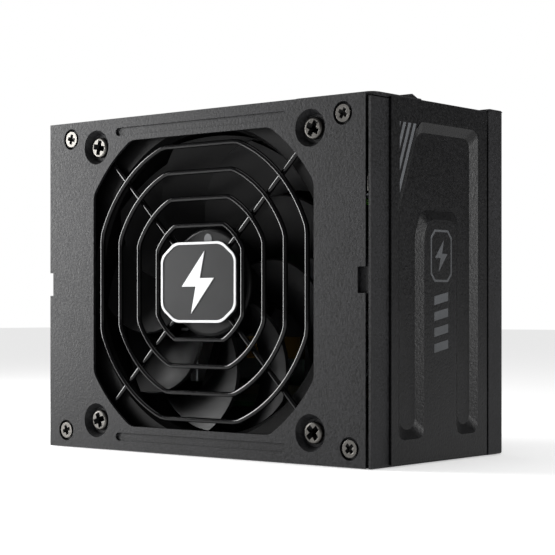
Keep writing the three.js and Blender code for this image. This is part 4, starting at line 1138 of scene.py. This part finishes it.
def fan_flange(low, high):
    plate = block("flange", (-FAN_HALF, FAN_FRONT + low, FAN_Z - FAN_HALF),
                  (FAN_HALF, FAN_FRONT + high, FAN_Z + FAN_HALF))
    round_picked(plate, runs_along(1), FAN_CORNER, 8)
    return plate


def fan_arm(i):
    arm = block("arm", (ARM_START, SUPPORT_FRONT, -ARM_HALF),
                (DUCT + DUCT_WALL / 2, FAN_BACK - FAN_FRONT, ARM_HALF))
    arm.data.transform(Matrix.Rotation(math.radians(ARM_TURN + 90 * i), 4, "Y"))
    arm.data.transform(Matrix.Translation(Vector((0, FAN_FRONT, FAN_Z)) * MM))
    return arm


def fan_frame():
    thick = FAN_BACK - FAN_FRONT
    frame_piece = fan_flange(0, FLANGE)
    carve(frame_piece, fan_flange(thick - FLANGE, thick), "UNION")
    carve(frame_piece, fan_disc("duct", DUCT + DUCT_WALL, 0.5, thick - 0.5, 128), "UNION")
    carve(frame_piece, fan_disc("air way", DUCT, -1, thick + 1, 128))
    flare = MOUTH * (MOUTH_DEPTH + 1) / MOUTH_DEPTH
    carve(frame_piece, fan_disc("mouth", DUCT + flare, -1, MOUTH_DEPTH, 128, DUCT - 0.02))
    for i in range(4):
        carve(frame_piece, fan_arm(i), "UNION")
    carve(frame_piece, fan_disc("hub", SUPPORT_RADIUS, SUPPORT_FRONT, thick), "UNION")
    carve(frame_piece, fan_disc("tube", BEARING_TUBE, TUBE_FRONT, SUPPORT_FRONT + 0.1, 32), "UNION")
    carve(frame_piece, fan_disc("bore", BEARING_BORE, BORE_FRONT, BORE_BACK, 32))
    for x, z in CORNERS.values():
        hole_x, hole_z = x * SCREW_HALF, FAN_Z + z * SCREW_HALF
        carve(frame_piece, cone("hole", "Y", (hole_x, FAN_FRONT - 1, hole_z, FAN_SCREW_HOLE),
                                (hole_x, FAN_BACK + 1, hole_z, FAN_SCREW_HOLE), 24))
    tidy_mesh(frame_piece, 0.4)
    frame_piece.name = "moulded_fan_frame"
    return soften(frame_piece, 0.2, 2, 30)


finish_piece(fan_frame(), "root", shaded_frame_plastic, "fan_plastic", "fan_frame")

# %% [markdown]
# ## Fan rotor
# The rotor is one moulding: a hub like a shallow cup and nine blades. A blade is wide, leans back
# towards its tip and is pitched like a propeller. A grid is laid out in the plane, and each point
# is then bent by a formula: its column says how far out it is, its row says how far round. The
# other eight are copies turned about the axis.

# %% Fan rotor: blade
HUB = 16.0
HUB_FRONT = 1.2
HUB_BACK = 11.8
HUB_WALL = 1.6
HUB_ROUND = 1.3
BOSS_RADIUS = 2.8
BOSS_BACK = 3.9
SHAFT_SEAT = 1.9
SHAFT_BORE = 1.8
BLADES = 9
BLADE_ROOT = 15.4
BLADE_TIP = 43.0
BLADE_SPAN = 0.62
BLADE_SWEEP = 0.5
BLADE_FRONT = 2.0
BLADE_BACK = 11.4
BLADE_THICK = 1.1
BLADE_RISE = (BLADE_BACK - BLADE_FRONT - BLADE_THICK) / BLADE_SPAN
BLADE_SHEET = 0.95
BLADE_CAMBER = 0.7


def blade():
    """One blade, curved from a grid whose columns run outwards and whose rows run round."""
    bpy.ops.object.select_all(action="DESELECT")
    bpy.ops.mesh.primitive_grid_add(x_subdivisions=16, y_subdivisions=12, size=1)
    piece = settle("blade")
    for vertex in piece.data.vertices:
        share, turn = vertex.co.x + 0.5, vertex.co.y
        radius = BLADE_ROOT + share * (BLADE_TIP - BLADE_ROOT)
        angle = turn * BLADE_SPAN - BLADE_SWEEP * share * share
        rise = BLADE_RISE * BLADE_SPAN * (0.5 - turn) + BLADE_CAMBER * (0.25 - turn * turn)
        depth = BLADE_FRONT + BLADE_THICK / 2 + rise
        vertex.co = Vector((radius * math.cos(angle), depth, radius * math.sin(angle))) * MM
    apply_modifier(piece, "SOLIDIFY", thickness=BLADE_SHEET * MM, offset=0.0)
    return piece


def fan_rotor():
    hub = cone("moulded_fan_rotor", "Y", (0, HUB_FRONT, 0, HUB), (0, HUB_BACK, 0, HUB), 96)
    round_picked(hub, lambda e, a, b: max(a.y, b.y) < HUB_FRONT + 0.01, HUB_ROUND, 5)
    inside = HUB - HUB_WALL
    hollow = cone("hollow", "Y", (0, HUB_FRONT + HUB_WALL, 0, inside), (0, HUB_BACK + 1, 0, inside), 96)
    carve(hub, hollow)
    boss = cone("boss", "Y", (0, HUB_FRONT + 1, 0, BOSS_RADIUS), (0, BOSS_BACK, 0, BOSS_RADIUS), 32)
    carve(hub, boss, "UNION")
    carve(hub, cone("bore", "Y", (0, SHAFT_SEAT, 0, SHAFT_BORE), (0, 5, 0, SHAFT_BORE), 32))
    first = blade()
    for i in range(BLADES):
        one = twin(first, "blade copy")
        one.data.transform(Matrix.Rotation(2 * math.pi * i / BLADES, 4, "Y"))
        carve(hub, one, "UNION")
    bpy.data.objects.remove(first)
    hub.data.transform(Matrix.Translation(Vector((0, FAN_FRONT, FAN_Z)) * MM))
    return soften(hub, 0.16, 2, 32)


finish_piece(fan_rotor(), "fan_spinner", fan_plastic, "fan_plastic", "fan_rotor")

# %% Fan rotor: balance dot
DOT_RISE = 12.6
DOT_RADIUS = 1.5
DOT_PROUD = 0.12
DOT_SUNK = 0.3
dot = cone("balance_dot", "Y", (0, HUB_FRONT - DOT_PROUD, DOT_RISE, DOT_RADIUS),
           (0, HUB_FRONT + DOT_SUNK, DOT_RISE, DOT_RADIUS), 32)
dot.data.transform(Matrix.Translation(Vector((0, FAN_FRONT, FAN_Z)) * MM))
finish_piece(soften(dot, 0.06, 2, 40), "fan_spinner", sensor_grey, "fan_plastic")

# %% [markdown]
# ## Fan motor
# Behind the hub sit a ground shaft, a sintered bronze sleeve, a ferrite magnet ring and a four-pole
# steel stator. Their shapes are already right in the frame, so merged copies get soft edges and
# their own metals.

# %% Fan motor
for node, name, width, segments, body, material, slot in (
        ("fan_shaft", "ground_shaft", 0.15, 2, "fan_spinner", bare_steel, "ground_steel"),
        ("fan_magnet_ring", "magnet_ring", 0.15, 2, "fan_spinner", ferrite, "ferrite"),
        ("fan_bearing", "sleeve_bearing", 0.1, 2, "root", bronze, "sintered_bronze"),
        ("fan_stator", "stator_stack", 0.1, 1, "root", steel_stack, "steel_laminations")):
    piece = soften(copy_of_node(node, name), width, segments, 40)
    finish_piece(piece, body, material, slot, node)

# %% [markdown]
# ## Mains inlet and switch
# The inlet is a three-pin appliance inlet moulded in nylon, its pins cut from nickel-plated brass
# with rounded tips. The switch has a bezel with a small radius and a rocker with a dished top. The
# two marks on the rocker are the usual bar for on and circle for off, moulded in white.

# %% Inlet
inlet = soften(copy_of_node("mains_inlet", "moulded_inlet"), 0.3, 3, 35)
finish_piece(inlet, "root", nylon, "inlet_plastic", "mains_inlet")
for pole in ("line", "neutral", "earth"):
    pin = soften(copy_of_node("inlet_pin_" + pole, pole + "_blade"), 0.45, 3, 40)
    finish_piece(pin, "root", nickel, "nickel_plate", "inlet_pin_" + pole)

# %% Switch
bezel = soften(copy_of_node("switch_housing", "switch_bezel"), 0.25, 3, 35)
finish_piece(bezel, "root", polycarbonate, "inlet_plastic", "switch_housing")
paddle = soften(copy_of_node("switch_rocker", "rocker_paddle"), 0.3, 3, 25)
finish_piece(paddle, "rocker", polycarbonate, "rocker_plastic", "switch_rocker")

HOUSING_LOW, HOUSING_HIGH = node_box("switch_housing")
PIVOT_RISE = 0.6
PIVOT = (HOUSING_LOW + HOUSING_HIGH) / 2
PIVOT.z = node_box("mains_end_plate")[1].z + PIVOT_RISE
ROCKER_REST = math.radians(-12)
ROCKER_SLOPE = math.radians(9.6)
MARK_REACH = 2.4
MARK_LIFT = 3.6
MARK_LOW = -0.05
MARK_HIGH = 0.06
BAR_REACH = 1.5
BAR_THICK = 0.28
RING_OUTER = 1.45
RING_INNER = 0.95


def rocker_mark(piece, side):
    """Lays a mark on one half of the dished rocker. side is -1 towards the fan, 1 away from it."""
    tilt = Matrix.Rotation(side * ROCKER_SLOPE, 4, "X")
    lift = Matrix.Translation(Vector((0, side * MARK_REACH, MARK_LIFT)) * MM)
    rest = Matrix.Rotation(ROCKER_REST, 4, "X")
    piece.data.transform(Matrix.Translation(PIVOT * MM) @ rest @ lift @ tilt)
    return finish_piece(soften(piece, 0.03, 1, 40), "rocker", white_ink, "rocker_plastic")


on_bar = block("on_mark", (-BAR_REACH, -BAR_THICK, MARK_LOW), (BAR_REACH, BAR_THICK, MARK_HIGH))
rocker_mark(on_bar, -1)
off_ring = cone("off_mark", "Z", (0, 0, MARK_LOW, RING_OUTER), (0, 0, MARK_HIGH, RING_OUTER), 32)
carve(off_ring, cone("middle", "Z", (0, 0, -0.5, RING_INNER), (0, 0, 0.5, RING_INNER), 32))
rocker_mark(off_ring, 1)

# %% [markdown]
# ## Modular sockets
# Each socket is a nylon shell around two rows of square cells, one contact in each. The shell is
# in the frame. A grid of thin walls is added inside it, and a tinned pin stands in every cell.

# %% Modular sockets
CELL = 4.2
CELL_WALL = 0.45
MOUTH_INSET = 0.6
CELL_FLOOR = 9.2
PIN_START = 3.4
PIN_TIP = 0.3
PIN_FOOT = 0.6
SOCKETS = {"board_socket_wide": 9, "board_socket_narrow": 5, "drive_socket_1": 3, "drive_socket_2": 3,
           "processor_socket_1": 4, "processor_socket_2": 4, "processor_socket_3": 4}


def socket_cells(node, columns):
    low, high = node_box(node)
    middle = (low + high) / 2
    mouth, floor_z = low.z + MOUTH_INSET, low.z + CELL_FLOOR
    half = columns * CELL / 2
    walls = [block("wall", (middle.x - half, middle.y - CELL_WALL / 2, mouth),
                   (middle.x + half, middle.y + CELL_WALL / 2, floor_z))]
    for i in range(1, columns):
        x = middle.x - half + i * CELL
        walls.append(block("wall", (x - CELL_WALL / 2, middle.y - CELL, mouth),
                           (x + CELL_WALL / 2, middle.y + CELL, floor_z)))
    return soften(joined(walls, node + "_cells"), 0.08, 1, 40)


def socket_pins(node, columns):
    low, high = node_box(node)
    middle = (low + high) / 2
    pins = []
    for i in range(columns):
        for row in (-1, 1):
            x = middle.x + (i - (columns - 1) / 2) * CELL
            y = middle.y + row * CELL / 2
            pins.append(cone("pin", "Z", (x, y, low.z + PIN_START, PIN_TIP),
                             (x, y, low.z + CELL_FLOOR, PIN_FOOT), 8))
    return soften(joined(pins, node + "_pins"), 0.05, 1, 40)


for node, columns in SOCKETS.items():
    shell = soften(copy_of_node(node, node + "_shell"), 0.2, 2, 40)
    finish_piece(shell, "root", nylon, "socket_plastic", node)
    finish_piece(socket_cells(node, columns), "root", nylon, "socket_plastic")
    finish_piece(socket_pins(node, columns), "root", tinned_brass, "nickel_plate")

# %% [markdown]
# ## Boards and what stands on them
# Flat boards, film and blocks keep their frame shapes with broken edges. Capacitors are cans in a
# printed sleeve with a bare top that is scored so that it can vent, so they are modelled again:
# a bevelled can, a pressed groove near the foot, and a disc with a cut cross.

# %% Boards
for node, name, material, slot in (
        ("main_board", "main_circuit_board", shaded_board_green, "board_laminate"),
        ("modular_board", "modular_circuit_board", shaded_board_green, "board_laminate"),
        ("insulating_sheet", "insulating_film", clear_film, "insulating_film"),
        ("filter_capacitor", "film_capacitor", film_box, "film_box"),
        ("bridge_rectifier", "rectifier_block", epoxy, "epoxy"),
        ("standby_transformer", "standby_winding", shaded_tape_yellow, "yellow_tape"),
        ("transformer_core", "ferrite_core", ferrite, "ferrite"),
        ("transformer_winding", "taped_winding", shaded_tape_yellow, "yellow_tape"),
        ("primary_heat_sink", "primary_fins", aluminium, "aluminium"),
        ("secondary_heat_sink", "secondary_fins", aluminium, "aluminium")):
    width = 0.12 if "board" in node or "sheet" in node else 0.35
    finish_piece(soften(copy_of_node(node, name), width, 2, 40), "root", material, slot, node)

# %% Capacitors
CRIMP_FROM_FOOT = (3.2, 2.2)
CRIMP_DEPTH = 0.5
TOP_SHARE = 0.8
TOP_PROUD = 0.12
SCORE_SHARE = 0.6
SCORE_HALF = 0.2
SCORE_DEPTH = 0.25


def crimp_tool(x, z, foot, radius):
    """A ring that presses the groove near the foot, where the sleeve grips the can."""
    start, end = (foot - offset for offset in CRIMP_FROM_FOOT)
    ring = cone("groove", "Y", (x, start, z, radius + 1), (x, end, z, radius + 1), 64)
    core_radius = radius - CRIMP_DEPTH
    carve(ring, cone("core", "Y", (x, foot - 4, z, core_radius), (x, foot - 1, z, core_radius), 64))
    return ring


def vented_top(name, x, z, face, radius):
    """A bare disc scored with a cross, so that the can can vent."""
    top = cone(name, "Y", (x, face - TOP_PROUD, z, radius * TOP_SHARE),
               (x, face + 0.5, z, radius * TOP_SHARE), 48)
    for turn in (0, 90):
        score = block("score", (-radius * SCORE_SHARE, -0.2, -SCORE_HALF),
                      (radius * SCORE_SHARE, SCORE_DEPTH, SCORE_HALF))
        score.data.transform(Matrix.Rotation(math.radians(turn), 4, "Y"))
        score.data.transform(Matrix.Translation(Vector((x, face - TOP_PROUD, z)) * MM))
        carve(top, score)
    return soften(top, 0.06, 1, 40)


def capacitor(node):
    """A can lying along Y with its vented top towards the fan."""
    low, high = node_box(node)
    x, z, radius = (low.x + high.x) / 2, (low.z + high.z) / 2, (high.x - low.x) / 2
    can = cone(node + "_can", "Y", (x, low.y, z, radius), (x, high.y, z, radius), 64)
    shoulder = 0.08 * radius + 0.4
    round_picked(can, lambda e, a, b: max(a.y, b.y) < low.y + 0.01, shoulder, 4)
    carve(can, crimp_tool(x, z, high.y, radius))
    finish_piece(soften(can, 0.15, 2, 35), "root", shrink_sleeve, "capacitor_sleeve", node)
    top = vented_top(node + "_top", x, z, low.y, radius)
    finish_piece(top, "root", aluminium, "aluminium")


for node in ["bulk_capacitor"] + [f"output_capacitor_{i}" for i in range(1, 5)]:
    capacitor(node)

# %% [markdown]
# ## Chokes
# A choke is a powdered-iron or ferrite ring wound with copper. The ring is a torus squashed to the
# frame's height and kept thin enough for the wire to fit round it, and one turn of wire is a
# smaller torus that is copied round the ring.

# %% Chokes
WOUND_SHARE = 1 / 1.08  # how much of the ring the turns cover


def choke(node, hole_share, core_material, core_slot, turns, wire):
    """A ring and its winding. hole_share is the ring's hole as a share of its width."""
    low, high = node_box(node)
    middle = (low + high) / 2
    outer, tall = (high.x - low.x) / 2, high.y - low.y
    inner = hole_share * outer
    mean_radius, thickness = (outer + inner) / 2, (outer - inner) / 2
    bpy.ops.object.select_all(action="DESELECT")
    bpy.ops.mesh.primitive_torus_add(major_segments=64, minor_segments=24, location=middle * MM,
                                     rotation=(math.pi / 2, 0, 0), major_radius=mean_radius * MM,
                                     minor_radius=(thickness - wire * 2) * MM)
    ring = settle(node + "_ring")
    squash = (tall / 2 - wire * 2) / (thickness - wire * 2)
    ring.data.transform(Matrix.Translation(middle * MM) @ Matrix.Scale(squash, 4, (0, 1, 0))
                        @ Matrix.Translation(-middle * MM))
    focus(ring)
    bpy.ops.object.shade_smooth()
    finish_piece(ring, "root", core_material, core_slot, node)
    bpy.ops.object.select_all(action="DESELECT")
    bpy.ops.mesh.primitive_torus_add(major_segments=28, minor_segments=8, rotation=(0, 0, 0),
                                     major_radius=(thickness - wire) * MM, minor_radius=wire * MM)
    turn = settle("turn")
    stretch = (tall / 2 - wire) / (thickness - wire)
    turn.data.transform(Matrix.Scale(stretch, 4, (0, 1, 0)))
    turn.data.transform(Matrix.Translation(Vector((mean_radius, 0, 0)) * MM))
    coil = []
    for i in range(turns):
        one = twin(turn, "turn copy")
        angle = 2 * math.pi * WOUND_SHARE * (i + 0.5) / turns
        one.data.transform(Matrix.Rotation(angle, 4, "Y"))
        one.data.transform(Matrix.Translation(middle * MM))
        coil.append(one)
    bpy.data.objects.remove(turn)
    winding = joined(coil, node + "_winding")
    focus(winding)
    bpy.ops.object.shade_smooth()
    finish_piece(winding, "root", copper_wire, "enamelled_copper")


choke("choke_core", 0.475, shaded_tape_yellow, "yellow_tape", 22, 0.7)
choke("filter_choke", 0.41, ferrite, "ferrite", 16, 0.6)

# %% [markdown]
# ## Leads
# The leads are stranded wire in PVC. Their routes are already in the frame as six-sided tubes, so a
# merged copy is subdivided until it is round.

# %% Leads
for node, skin, slot in (
        ("line_lead", lead_skin, "black_lead"),
        ("neutral_lead", lead_skin, "black_lead"),
        ("fan_lead", lead_skin, "black_lead"),
        ("earth_lead", earth_skin, "earth_lead")):
    piece = copy_of_node(node, node + "_skin")
    apply_modifier(piece, "SUBSURF", levels=2, render_levels=2)
    focus(piece)
    bpy.ops.object.shade_smooth()
    finish_piece(piece, "root", skin, slot, node)
